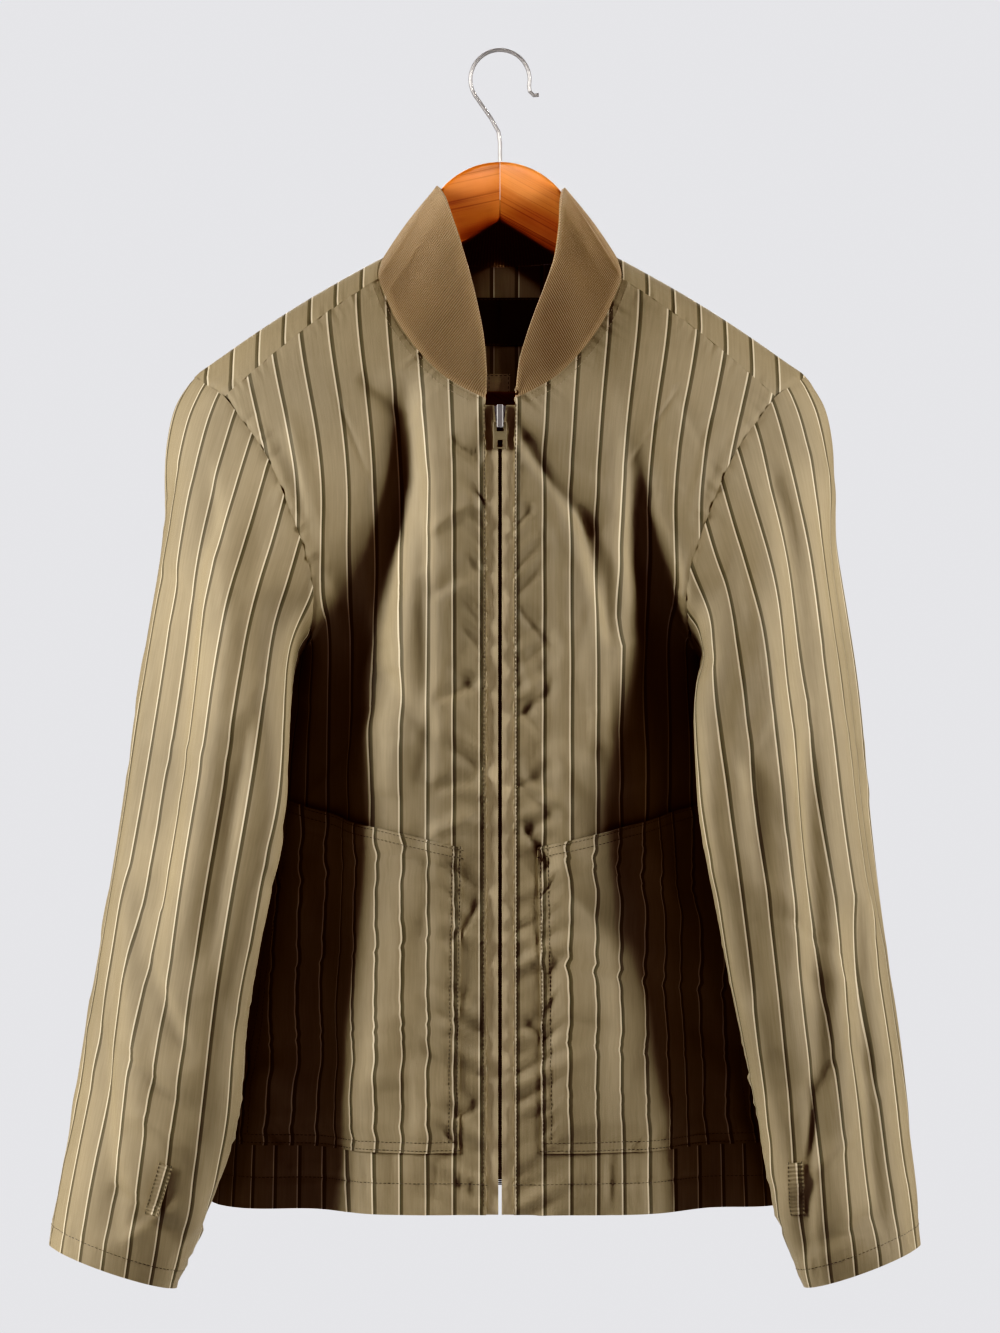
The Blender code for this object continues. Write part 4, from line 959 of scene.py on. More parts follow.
# Painted light: the care tab's colours are a lighter copy of the tape's, so the tab looks lit inside the
# shaded neck.
tab_painted_light_weave = make_close_weave("care_weave", (0.620, 0.520, 0.340), (0.520, 0.430, 0.270), 0.0006, 0.60)
label = make_close_weave("label", (0.012, 0.011, 0.011), (0.006, 0.006, 0.006), 0.0004, 0.50)
thread = make_thread("thread", (0.135, 0.104, 0.056), (0.090, 0.068, 0.035))
neck_thread = make_thread("neck_thread", (0.330, 0.265, 0.160), (0.230, 0.180, 0.105))
print("soft finishes:", cloth.name, rib_knit.name, tape.name, label.name, thread.name)

# %% [markdown]
# ## Metal and wood
# The hook and the slider are nickel-plated with fine brush marks, and the pull tab is painted to
# match the cloth. The hanger is beech under a thin warm varnish. Its two glued halves show
# different grain, so each half has its own finish made with the same group.

# %% Metal and wood
PORE = (0.13, 0.035, 0.008)


def make_metal(name, colour, metallic, low, high):
    deep = tuple(0.72 * part for part in colour)
    return make_speckled(
        name, deep, colour, (160.0, 1500.0), [(0.3, low), (0.7, high)], (0.00003, 0.4), Metallic=metallic)


def make_wood(name, lean, bands, light, deep):
    made, tree = new_finish(name, Coat_Weight=0.08, Coat_Roughness=0.20, Specular_IOR_Level=0.25)
    place = add(tree, "ShaderNodeTexCoord").outputs["Object"]
    lines = place_group(tree, grain, {"Place": place, "Lean": lean, "Bands": bands})
    rings = ramp(tree, lines["Rings"], [(0.34, 0.0), (0.62, 1.0)])
    pores = ramp(tree, lines["Pores"], [(0.34, 1.0), (0.44, 0.0)])
    colour = blend_colours(tree, rings, deep, light)
    colour = blend_colours(tree, maths(tree, "MULTIPLY", pores, 0.45), colour, PORE)
    colour = faded(tree, clouds_of(tree, 30.0), colour, 0.90, 1.10)
    finish_off(tree, colour, ramp(tree, pores, [(0.0, 0.30), (1.0, 0.46)]), lines["Pores"], 0.0001, 0.35)
    return made


steel = make_metal("steel", (0.56, 0.55, 0.53), 0.7, 0.36, 0.50)
enamel = make_metal("painted_metal", (0.275, 0.232, 0.150), 0.0, 0.34, 0.50)
coil_finish = make_metal("coil", (0.185, 0.155, 0.100), 0.0, 0.38, 0.52)
wood_left = make_wood("wood_left", 0.55, 95.0, (0.560, 0.235, 0.066), (0.450, 0.165, 0.040))
wood_right = make_wood("wood_right", -0.22, 60.0, (0.540, 0.215, 0.058), (0.420, 0.145, 0.034))
print("hard finishes:", steel.name, enamel.name, coil_finish.name, wood_left.name, wood_right.name)

# %% [markdown]
# ## Distances along the cloth
# Seams, hems and stitch rows all run at a set distance from an edge of the piece. These helpers
# measure that distance over the cloth, and find the line where it has a given value.

# %% Distances and laid lines
def edge_gaps(grid):
    """How far each point lies from the piece's four edges, along the cloth."""
    first, top = run_of(grid, 1), run_of(grid, 0)
    return {"first": first, "last": first[:, -1:] - first, "top": top, "foot": top[-1:] - top}


def spots_on(values, rows, columns):
    """Values of a grid at fractional rows and columns."""
    r = np.clip(rows.astype(int), 0, values.shape[0] - 2)
    c = np.clip(columns.astype(int), 0, values.shape[1] - 2)
    u, v = (rows - r)[..., None], (columns - c)[..., None]
    top = values[r, c] * (1 - v) + values[r, c + 1] * v
    low = values[r + 1, c] * (1 - v) + values[r + 1, c + 1] * v
    return top * (1 - u) + low * u


STITCH_LIFT = 0.00012


def edge_line(piece, edge, distance, start=0.0, stop=1.0):
    """Points on a dressed piece along one of its edges, a set distance in from it."""
    grid, facing = piece
    gaps = edge_gaps(grid)[edge]
    upright = edge in ("first", "last")
    if not upright:
        gaps = gaps.T
    turn = slice(None) if edge in ("first", "top") else slice(None, None, -1)
    places = np.arange(int(start * (len(gaps) - 1)), int(stop * (len(gaps) - 1)) + 1)
    numbers = np.arange(gaps.shape[1])
    found = np.array([np.interp(distance, gaps[k][turn], numbers[turn]) for k in places])
    rows, columns = (places.astype(float), found) if upright else (found, places.astype(float))
    return spots_on(grid, rows, columns) + spots_on(facing, rows, columns) * STITCH_LIFT


def dress(node, mesh, finish):
    piece = show(mesh.name, mesh, finish)
    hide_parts(node)


laid = {}
stitch_lines, neck_lines = [], []


def sew(lines, piece, *rows):
    """Keeps a row of stitches for each (edge, distance, start, stop)."""
    lines.extend(edge_line(piece, *row) for row in rows)


print("line helpers ready")

# %% [markdown]
# ## The two fronts
# Each front is one flat piece, gathered at the shoulder, the armhole and the zip. It is drawn as a
# fine grid, which sinks in beside the sleeve and is then pushed in and out along its own facing by
# the creases, the puckers and the pressed seams. The bend at the underarm is rounded, and the hem
# and the zip edge are turned under, so the wall is twice as thick there.

# %% Fronts
FRONT_DOWN, FRONT_ACROSS = 9, 8
FIRST_LINE = {"right": -0.0152, "left": 0.0103}
TURNED, TURNED_WIDE, HEM_STITCH = 0.0009, 0.026, 0.022
SPLAY, CALM_BLUR, BEND_ROWS, BEND_BLUR = 0.16, 22, 45.0, 14


def blurred(values, blur):
    """Values of a grid, averaged softly down its columns."""
    weights = np.exp(-0.5 * (np.arange(-3 * blur, 3 * blur + 1) / blur) ** 2)
    padded = np.pad(values, ((3 * blur, 3 * blur), (0, 0)), mode="edge")
    return sum(w * padded[k:k + len(values)] for k, w in enumerate(weights / weights.sum()))


def softened(grid, middle):
    """Rounds the bend that a panel takes at the underarm, except close to its side edges."""
    gaps = edge_gaps(grid)
    near = np.clip(1.0 - np.abs(np.arange(len(grid)) - middle) / BEND_ROWS, 0.0, 1.0)[:, None]
    inside = np.clip(blurred(gaps["last"], CALM_BLUR) / 0.030, 0.0, 1.0)
    share = inside * np.clip((gaps["first"] - 0.020) / 0.050, 0.0, 1.0) * eased(near)
    rounded = np.stack([blurred(grid[..., k], BEND_BLUR) for k in range(3)], axis=2)
    return grid + share[:, :, None] * (rounded - grid)


def fine_panel(coarse, times_down, times_across, neck_rows, arm_rows):
    down, across = steps_of(len(coarse), times_down), steps_of(COLUMNS + 1, times_across)
    return softened(finer(coarse, down, across, (neck_rows, arm_rows)), arm_rows * times_down)


def panel_seams(gaps, neck, side_seed, top_seed, side_tall):
    """The puckers and the pressed grooves at a body panel's armhole, side, shoulder and neck."""
    height = ripples(gaps["last"], gaps["top"], side_seed, 0.012, side_tall, 0.012)
    height += ripples(gaps["top"], gaps["first"], top_seed, 0.010, 0.0004, 0.010)
    height += groove(gaps["last"], 0.0030, 0.0007) + groove(gaps["top"], 0.0028, 0.0006)
    return height + groove(gaps["first"], 0.0030, 0.0007) * neck


def dress_front(name, sign):
    grid = fine_panel(fronts[name], FRONT_DOWN, FRONT_ACROSS, NECK_FRONT_ROWS, ARM_FRONT_ROWS)
    gaps = edge_gaps(grid)
    first, foot = gaps["first"], gaps["foot"]
    calm = blurred(gaps["last"], CALM_BLUR)
    cut = cut_of(grid, DOWN, np.abs(grid[:, 0, 0]), sign)
    cut[..., 0] /= 1.0 + SPLAY * eased(np.clip((grid[..., 2] + 0.34) / 0.17, 0.0, 1.0))
    cut[..., 0] -= FIRST_LINE[name]
    grid[..., 1] += hollow_depth(name, grid, calm)
    facing = facing_of(grid, -sign)
    faint = scattered(11 if sign < 0 else 23, 60, (0.02, -0.80), (0.19, -0.28), 170.0, 0.009, 0.0018)
    faint = [crease._replace(a0=sign * crease.a0, a1=sign * crease.a1) for crease in faint]
    height = crease_height(grid[..., 0], grid[..., 2], FRONT_CREASES[name] + faint)
    height *= quiet_edges(height.shape, 14.0)
    height *= np.clip(calm / 0.030, 0.0, 1.0) * np.clip(first / 0.010, 0.2, 1.0)
    row = np.arange(len(grid))[:, None]
    lower = np.clip((row / FRONT_DOWN - NECK_FRONT_ROWS) / 2.0, 0.0, 1.0)
    neck = row < NECK_FRONT_ROWS * FRONT_DOWN
    slant, seed = grid[..., 2] - 0.5 * first, int(sign)
    height += lower * ripples(first - 0.012, slant, 5 + seed, 0.025, 0.0019, 0.027)
    height += lower * ripples(first, slant, 6 + seed, 0.012, 0.0008, 0.010)
    height += (1.0 - lower) * ripples(first, gaps["top"], 7 + seed, 0.013, 0.0006, 0.011)
    height += ripples(foot - HEM_STITCH, first, 19 + seed, 0.018, 0.0011, 0.015)
    height += panel_seams(gaps, neck, 9 + seed, 15 + seed, 0.0008)
    height += groove(foot - HEM_STITCH, 0.0016, 0.0006)
    grid = grid + facing * height[:, :, None]
    facing = facing_of(grid, -sign)
    turned = np.maximum(foot < TURNED_WIDE, (first < 0.018) & ~neck)
    thick = (CLOTH + TURNED * turned)[:, :, None]
    laid[f"front_{name}"] = (grid, facing)
    return wall_mesh(f"front_{name}_cloth", grid, grid - facing * thick, cut), cut


neck_share = NECK_FRONT_ROWS / (ARM_FRONT_ROWS + SIDE_ROWS)
for name, sign in SIDES.items():
    mesh, cut = dress_front(name, sign)
    dress(f"front_{name}", mesh, cloth)
    front = laid[f"front_{name}"]
    sew(neck_lines, front, ("first", 0.0020, 0.005, neck_share - 0.01),
        ("first", 0.0062, 0.01, neck_share - 0.02))
    sew(stitch_lines, front, ("first", 0.0018, neck_share + 0.005, 0.995),
        ("foot", HEM_STITCH, 0.0, 0.995))

# %% [markdown]
# ## The back
# The back is cut in one piece. Its grid is worked out in two mirrored halves, which share the
# points of the centre line. The halves are joined and the doubled points are merged.

# %% Back
BACK_DOWN, BACK_ACROSS = 7, 6


def dress_back(name, sign):
    grid = fine_panel(backs[name], BACK_DOWN, BACK_ACROSS, NECK_BACK_ROWS, ARM_BACK_ROWS)
    facing = facing_of(grid, sign)
    centre = NECK_BACK_ROWS * BACK_DOWN
    gaps = edge_gaps(grid)
    cut = cut_of(grid, DOWN, np.abs(grid[:, 0, 0]), -sign)
    cut[..., 0] -= 0.0040
    faint = scattered(37, 80, (-0.19, -0.80), (0.19, -0.26), 180.0, 0.011, 0.0026)
    height = crease_height(grid[..., 0], grid[..., 2], BACK_CREASES + faint)
    height *= quiet_edges(height.shape, 11.0)
    height += ripples(gaps["foot"] - HEM_STITCH, sign * gaps["first"], 43, 0.016, 0.0007, 0.013)
    neck = (np.arange(len(grid)) < centre)[:, None]
    height += panel_seams(gaps, neck, 41 + int(sign), 47 + int(sign), 0.0007)
    height += groove(gaps["foot"] - HEM_STITCH, 0.0012, 0.0003)
    facing[centre:, 0, 0] = 0.0
    grid = grid + facing * height[:, :, None]
    facing = facing_of(grid, sign)
    facing[centre:, 0, 0] = 0.0
    facing /= np.linalg.norm(facing, axis=2)[:, :, None]
    thick = (CLOTH + TURNED * (gaps["foot"] < TURNED_WIDE))[:, :, None]
    laid[f"back_{name}"] = (grid, facing)
    return wall_mesh(f"back_{name}_half", grid, grid - facing * thick, cut, centre), cut


back_cut, joined = [], bmesh.new()
neck_share = NECK_BACK_ROWS / (ARM_BACK_ROWS + SIDE_ROWS)
for name, sign in SIDES.items():
    mesh, cut = dress_back(name, sign)
    joined.from_mesh(mesh)
    back_cut.append(cut.reshape(-1, 2))
    sew(neck_lines, laid[f"back_{name}"], ("first", 0.0020, 0.0, neck_share))
    sew(stitch_lines, laid[f"back_{name}"], ("foot", HEM_STITCH, 0.0, 0.995))
bmesh.ops.remove_doubles(joined, verts=joined.verts[:], dist=0.00002)
back_mesh = bpy.data.meshes.new("back_cloth")
joined.to_mesh(back_mesh)
joined.free()
dress("back", smoothed(back_mesh, 60), cloth)

# %% [markdown]
# ## The sleeves
# A sleeve is cut in two pieces, a wide top and a narrow under one, with two long seams. Both are
# parts of one closed stack of rings, so the creases and the puckers run on across the seams. The
# grain runs down the arm, and the stripes follow it.

# %% Sleeves
SLEEVE_DOWN, SLEEVE_ACROSS, CUFF_STITCH, CUFF_TURNED = 9, 6, 0.0140, 0.017


def dress_sleeve(name, sign):
    coarse = sleeves[name]
    down, across = steps_of(len(coarse), SLEEVE_DOWN), steps_of(coarse.shape[1], SLEEVE_ACROSS)
    grid = finer(ringed(coarse, 3), down, across + 3)
    facing = facing_of(grid, sign, closed=True)
    arm = np.array([sign * 0.165, -0.058, -0.985])
    arm /= np.linalg.norm(arm)
    round_arm = cut_of(grid, arm, np.zeros(len(grid)), 1.0)
    girth, from_top = round_arm[:, -1:, 0], round_arm[..., 1] - round_arm[0, 0, 1]
    around, seed = round_arm[..., 0], int(sign)
    faint = scattered(53 + seed, 70, (-0.20, 0.05), (0.20, 0.58), 8.0, 0.009, 0.0017)
    height = np.zeros(around.shape)
    for shift in (0.0, sign):
        height += crease_height(shift * girth - sign * around, from_top, SLEEVE_CREASES[name] + faint)
    gaps = edge_gaps(grid)
    cuff = gaps["foot"] - CUFF_STITCH
    height *= quiet_edges(height.shape, 14.0, last=False)
    height *= np.clip(gaps["foot"] / 0.03, 0.3, 1.0)
    for column, tall in ((SLEEVE_SEAM_FRONT, 0.0013), (SLEEVE_SEAM_BACK, 0.0008)):
        apart = np.abs(around - around[:, column * SLEEVE_ACROSS][:, None])
        height += ripples(apart, from_top, 61 + column + seed, 0.014, tall, 0.014)
        height += groove(apart, 0.0022, 0.0007)
    height += ripples(gaps["top"], around, 67 + seed, 0.014, 0.0009, 0.012)
    height += ripples(cuff, around, 71 + seed, 0.010, 0.0006, 0.011)
    height += groove(gaps["top"], 0.0030, 0.0007) + groove(cuff, 0.0012, 0.0003)
    height[:, -1] = height[:, 0]
    grid = grid + facing * height[:, :, None]
    facing = facing_of(grid, sign, closed=True)
    thick = (CLOTH + TURNED * (gaps["foot"] < CUFF_TURNED))[:, :, None]
    return grid, facing, grid - facing * thick


def sleeve_columns(piece, times):
    """The columns of a sleeve's top or under piece, in order, in a grid refined so many times."""
    front, behind = SLEEVE_SEAM_FRONT * times, SLEEVE_SEAM_BACK * times
    last = (ARM_FRONT_ROWS + ARM_BACK_ROWS) * times
    if piece == "under":
        return list(range(front, behind + 1))
    return list(range(behind, last)) + list(range(front + 1))


def sleeve_cut(name, sign, piece):
    """The flat coordinates of a sleeve's piece, refined as its grid is."""
    columns = sleeve_columns(piece, 1)
    middle = columns.index(0) if piece == "top" else len(columns) // 2
    part = sleeves[name][:, columns]
    across, along = run_of(part, 1), run_of(part, 0)
    across -= across[:, middle][:, None]
    along -= along[-1:, :]
    flat = set_upright(flattened(part, np.stack([across, along], axis=2)), middle, CAP_ROWS + 1)
    rows = finer_rows(flat, steps_of(len(part), SLEEVE_DOWN))
    fine = finer_columns(rows, steps_of(len(columns), SLEEVE_ACROSS))
    print(name, piece, "flat width at the elbow", round(float(np.ptp(fine[len(fine) // 2, :, 0])), 3))
    return fine * np.array([-sign, 1.0]) + np.array([0.0060, 0.0])


for name, sign in SIDES.items():
    grid, facing, inside = dress_sleeve(name, sign)
    for part in ("top", "under"):
        columns, cut = sleeve_columns(part, SLEEVE_ACROSS), sleeve_cut(name, sign, part)
        node = f"sleeve_{part}_{name}"
        mesh = wall_mesh(f"{node}_cloth", grid[:, columns], inside[:, columns], cut)
        dress(node, mesh, cloth)
        laid[node] = (grid[:, columns], facing[:, columns])
        sew(stitch_lines, laid[node], ("foot", CUFF_STITCH))

# %% [markdown]
# ## The patch pockets
# Each pocket is a single patch laid on the front and sewn down on three sides, with a slanting
# mouth. It takes the front's own fine grid, so it lies in the same folds, and stands a thread's
# width off it. The mouth gapes a little in the middle. Its stripes match the front's.

# %% Pockets
Pocket = namedtuple("Pocket", "mouth_in mouth_out bottom first last")
POCKET = Pocket(-0.570, -0.538, -0.783, 1, 10)
POCKET_DOWN, POCKET_ACROSS, LIFT = 110, 78, 0.0004
NEAR_STITCH, FAR_STITCH = 0.0018, 0.0075


def dress_pocket(name, sign, front_cut):
    grid, facing = laid[f"front_{name}"]
    columns = np.linspace(POCKET.first, POCKET.last, POCKET_ACROSS + 1) * FRONT_ACROSS
    share = np.linspace(0.0, 1.0, POCKET_ACROSS + 1)
    mouth = POCKET.mouth_in + (POCKET.mouth_out - POCKET.mouth_in) * share
    rows = np.zeros((POCKET_DOWN + 1, POCKET_ACROSS + 1))
    numbers = np.arange(len(grid)).astype(float)
    for c, (column, level) in enumerate(zip(columns, mouth)):
        z = spots_on(grid, numbers, np.full(len(numbers), column))[:, 2]
        ends = np.interp([-level, -POCKET.bottom], -z, numbers)
        rows[:, c] = np.linspace(ends[0], ends[1], POCKET_DOWN + 1)
    places = np.broadcast_to(columns, rows.shape)
    base, out, cut = (spots_on(values, rows, places) for values in (grid, facing, front_cut))
    gaps = edge_gaps(base)
    sewn = np.minimum(np.minimum(gaps["first"], gaps["last"]), gaps["foot"])
    gape = np.sin(math.pi * share)[None, :] ** 0.6 * np.exp(-((gaps["top"] / 0.020) ** 2))
    height = LIFT + CLOTH + 0.0012 * np.clip(sewn / 0.02, 0.0, 1.0) ** 2 + 0.0014 * gape
    for distance in (sewn - NEAR_STITCH, sewn - FAR_STITCH, gaps["top"] - 0.0160):
        height += groove(distance, 0.0012, 0.0003)
    around = gaps["top"] + gaps["first"]
    height += ripples(sewn - 0.004, around, 83 + int(sign), 0.010, 0.0006, 0.012) * (sewn > 0.001)
    face = base + out * height[:, :, None]
    thick = (CLOTH + 0.5 * TURNED * ((sewn < 0.009) | (gaps["top"] < 0.018)))[:, :, None]
    inner = np.maximum(height[:, :, None] - thick, LIFT * 0.4)
    laid[f"pocket_{name}"] = (face, out)
    return wall_mesh(f"pocket_{name}_cloth", face, base + out * inner, cut), cut


for name, sign in SIDES.items():
    front_grid = laid[f"front_{name}"][0]
    front_cut = cut_of(front_grid, DOWN, np.abs(front_grid[:, 0, 0]), sign)
    front_cut[..., 0] -= FIRST_LINE[name]
    mesh, cut = dress_pocket(name, sign, front_cut)
    dress(f"pocket_{name}", mesh, cloth)
    sew(stitch_lines, laid[f"pocket_{name}"],
        ("first", NEAR_STITCH, 0.0, 0.995), ("first", FAR_STITCH, 0.0, 0.97),
        ("last", NEAR_STITCH, 0.0, 0.995), ("last", FAR_STITCH, 0.0, 0.97),
        ("foot", NEAR_STITCH), ("foot", FAR_STITCH, 0.035, 0.965),
        ("top", NEAR_STITCH), ("top", FAR_STITCH))

# %% [markdown]
# ## The knitted collar
# The collar is a doubled band of fine rib that stands open at the front. Its ribs run across the
# band and stand proud of it, so they are made as geometry: the grid gets four points to a rib,
# spaced evenly along the band, and every other pair is raised.

# %% Collar
RIB_PITCH, RIB_TALL, RIB_POINTS, COLLAR_DOWN = 0.0019, 0.00030, 4, 5


def dress_collar():
    run = run_of(collar[len(collar) // 2])
    ribs = int(round(run[-1] / RIB_PITCH))
    across = np.interp(np.linspace(0.0, run[-1], ribs * RIB_POINTS + 1), run, np.arange(len(run)))
    grid = finer_columns(finer_rows(collar, steps_of(len(collar), COLLAR_DOWN)), across)
    facing = facing_of(grid, -1.0)
    gaps = edge_gaps(grid)
    along = np.linspace(0.0, run[-1], grid.shape[1])[None, :].repeat(len(grid), axis=0)
    calm = np.clip(gaps["foot"] / 0.003, 0.25, 1.0) * np.clip(gaps["top"] / 0.002, 0.2, 1.0)
    belly = np.sin(math.pi * np.linspace(0, 1, len(grid)))[:, None]
    soft = 0.0016 * np.sin(2 * math.pi * along / 0.085 + 0.8) * belly
    height = (soft + RIB_TALL * np.sin(2 * math.pi * along / RIB_PITCH) * calm)[:, :, None]
    face = grid + facing * height
    cut = np.stack([along, gaps["top"]], axis=2)
    print("collar ribs", ribs)
    return wall_mesh("collar_knit", face, grid + facing * (height - RIB), cut), cut


mesh, cut = dress_collar()
dress("collar", mesh, rib_knit)

# %% [markdown]
# ## Patches on the sleeves and inside the neck
# Small pieces are placed by where they are seen: the script finds the cloth's nearest point, and
# lays each corner of the patch on the plane of the cloth there. The vents are narrow bound slits
# near the cuffs, and the neck label is left plain.

# %% Small patches
Patch = namedtuple("Patch", "x z wide tall lean")
VENTS = {
    "right": Patch(-0.2365, -0.8065, 0.0102, 0.037, 17),
    "left": Patch(0.2060, -0.8065, 0.0102, 0.037, -4),
}
NECK_LABEL = Patch(0.0, -0.1895, 0.070, 0.035, 0)
CARE_TAB = Patch(-0.001, -0.2375, 0.017, 0.020, 0)
WELT_NEAR, WELT_THICK, WOVEN_NEAR, WOVEN_THICK = 0.0003, 0.0009, 0.0009, 0.0007


def seen_spots(grid, facing, x, z):
    """Points and facings of the cloth at x and z, on the side that faces the front."""
    points, outs = grid.reshape(-1, 3), facing.reshape(-1, 3)
    usable = outs[:, 1] < -0.15
    points, outs = points[usable], outs[usable]
    gap = (points[None, :, 0] - x[:, None]) ** 2 + (points[None, :, 2] - z[:, None]) ** 2
    nearest = gap.argmin(axis=1)
    point, out = points[nearest], outs[nearest]
    y = point[:, 1] - (out[:, 0] * (x - point[:, 0]) + out[:, 2] * (z - point[:, 2])) / out[:, 1]
    return np.stack([x, y, z], axis=1), out


def lay_patch(name, spec, surface, near, thick, shape, slit_side=0.0):
    """A thin rectangle on the cloth. A vent's welt has ribs and rises towards its slit's side."""
    v, u = np.meshgrid(np.linspace(0.5, -0.5, shape[0]), np.linspace(-0.5, 0.5, shape[1]), indexing="ij")
    lean = math.radians(spec.lean)
    across, up = u * spec.wide, v * spec.tall
    x = spec.x + across * math.cos(lean) + up * math.sin(lean)
    z = spec.z - across * math.sin(lean) + up * math.cos(lean)
    points, outs = seen_spots(*surface, x.reshape(-1), z.reshape(-1))
    points, outs = points.reshape(*shape, 3), outs.reshape(*shape, 3)
    top = np.full(shape, near + thick)
    if slit_side:
        towards_slit, v = 0.5 + slit_side * u, v + 0.5
        ribs = 0.00016 * np.sin(v * 2 * math.pi * 13)
        top += ribs + 0.0011 * towards_slit ** 2 * np.sin(math.pi * v) ** 0.5
    face = points + outs * top[:, :, None]
    cut = np.stack([across, -up], axis=2)
    laid[name] = (face, outs)
    return wall_mesh(name, face, points + outs * (top - thick)[:, :, None], cut), cut


for name, sign in SIDES.items():
    welt, sleeve = f"vent_welt_{name}", f"sleeve_top_{name}"
    mesh, cut = lay_patch(
        f"{welt}_cloth", VENTS[name], laid[sleeve], WELT_NEAR, WELT_THICK, (60, 14), -sign)
    dress(welt, mesh, cloth)
    sew(stitch_lines, laid[mesh.name], ("first", 0.0010), ("last", 0.0010))

points, outs = (
    np.concatenate([laid[half][k].reshape(1, -1, 3) for half in ("back_right", "back_left")], axis=1)
    for k in (0, 1))
back_inside = (points - outs * CLOTH, -outs)
# The care tab takes the lighter weave, which is painted light.
for node, spec, finish, slot in (
        ("neck_label", NECK_LABEL, label, "label"), ("care_tab", CARE_TAB, tab_painted_light_weave, "tape")):
    mesh, cut = lay_patch(f"{node}_woven", spec, back_inside, WOVEN_NEAR, WOVEN_THICK, (24, 48))
    dress(node, mesh, finish)
    sew(stitch_lines, laid[mesh.name], *((edge, 0.0012) for edge in ("first", "last", "top", "foot")))

# %% [markdown]
# ## The zip
# The zip is turned, so its coil lies behind the tapes and only a slit shows. The tapes are thin
# woven strips, and the coil is made by Geometry Nodes: one bead of the coil is repeated along the
# closed length, at the coil's own pitch.

# %% Zip tapes
TAPE_IN, TAPE_OUT, TAPE, TAPE_BEHIND = 0.0012, 0.0125, 0.0008, 0.0019
PARTED, PARTED_Z = 0.0044, -0.294
ZIP_TOP, ZIP_FOOT, SLIDER_Z, SLIDER_TALL = -0.2610, -0.8055, -0.2690, 0.0150

centre_line = curve(CENTRE_FRONT, 200)


def tape_depth(z):
    """The y of the tapes' face at a height, just behind the fronts."""
    return np.interp(z, centre_line[::-1, 2], centre_line[::-1, 1]) + TAPE_BEHIND


def dress_tape(name, sign):
    z = np.concatenate([np.linspace(ZIP_TOP, PARTED_Z, 40)[:-1], np.linspace(PARTED_Z, HEM_Z, 260)])
    opening = np.clip((z - PARTED_Z) / (ZIP_TOP - PARTED_Z), 0.0, 1.0) ** 1.5
    inner = TAPE_IN + (PARTED - TAPE_IN) * opening
    share = np.linspace(0.0, 1.0, 13)
    x = inner[:, None] + (TAPE_OUT - inner)[:, None] * share[None, :]
    ripple = 0.00018 * np.sin(z * 2 * math.pi / 0.021 + sign)[:, None] * np.sin(math.pi * share)[None, :]
    y, z = tape_depth(z)[:, None] + ripple, z[:, None] + 0.0 * x
    face = np.stack([sign * x, y, z], axis=2)
    cut = np.stack([x, -z], axis=2)
    return wall_mesh(f"zip_tape_{name}_woven", face, face + np.array([0.0, TAPE, 0.0]), cut), cut


for name, sign in SIDES.items():
    mesh, cut = dress_tape(name, sign)
    dress(f"zip_tape_{name}", mesh, tape)

# %% [markdown]
# ## Repeating trees
# Stitches and coil beads repeat a small rounded bead along a line. One tree does both: it takes
# the line, sets out points at a pitch, and stands a bead on each, either along the line or
# straight across it.

# %% Bead tree
def bead_tree():
    tree = bpy.data.node_groups.new("beads_on_a_line", "GeometryNodeTree")
    sockets = {}
    for title, kind in (
            ("Line", "Geometry"), ("Pitch", "Float"), ("Bead length", "Float"),
            ("Bead radius", "Float"), ("Across", "Bool"), ("Finish", "Material")):
        socket = tree.interface.new_socket(title, in_out="INPUT", socket_type=f"NodeSocket{kind}")
        sockets[title] = socket.identifier
    tree.interface.new_socket("Beads", in_out="OUTPUT", socket_type="NodeSocketGeometry")
    asked, made = tree.nodes.new("NodeGroupInput").outputs, tree.nodes.new("NodeGroupOutput")
    line = add(tree, "GeometryNodeMeshToCurve", inputs={"Mesh": asked["Line"]})
    spaced = add(tree, "GeometryNodeCurveToPoints", {"mode": "LENGTH"}, {
        "Curve": line.outputs["Curve"], "Length": asked["Pitch"]}).outputs
    ball = add(tree, "GeometryNodeMeshUVSphere", inputs={"Segments": 6, "Rings": 4, "Radius": 1.0})
    half = maths(tree, "MULTIPLY", asked["Bead length"], 0.5)
    radius = asked["Bead radius"]
    size = add(tree, "ShaderNodeCombineXYZ", inputs={0: radius, 1: radius, 2: half})
    bead = add(tree, "GeometryNodeTransform", inputs={
        "Geometry": ball.outputs["Mesh"], "Scale": size.outputs[0]})
    direction = add(tree, "GeometryNodeSwitch", {"input_type": "VECTOR"}, {
        "Switch": asked["Across"], "False": spaced["Tangent"], "True": (1.0, 0.0, 0.0)})
    turned = add(tree, "FunctionNodeAlignRotationToVector", {"axis": "Z"}, {
        "Vector": direction.outputs[0]})
    beads = add(tree, "GeometryNodeInstanceOnPoints", inputs={
        "Points": spaced["Points"], "Instance": bead.outputs[0], "Rotation": turned.outputs[0]})
    real = add(tree, "GeometryNodeRealizeInstances", inputs={0: beads.outputs[0]})
    smooth = add(tree, "GeometryNodeSetShadeSmooth", inputs={0: real.outputs[0]})
    finished = add(tree, "GeometryNodeSetMaterial", inputs={
        0: smooth.outputs[0], "Material": asked["Finish"]})
    tree.links.new(finished.outputs[0], made.inputs[0])
    return tree, sockets


BEADS, BEAD_SOCKETS = bead_tree()


def mesh_of(carrier):
    """The evaluated mesh of a helper object, which is then removed."""
    bpy.context.scene.collection.objects.link(carrier)
    bpy.context.view_layer.update()
    graph = bpy.context.evaluated_depsgraph_get()
    plain = bpy.data.meshes.new_from_object(carrier.evaluated_get(graph))
    bpy.data.objects.remove(carrier)
    return plain


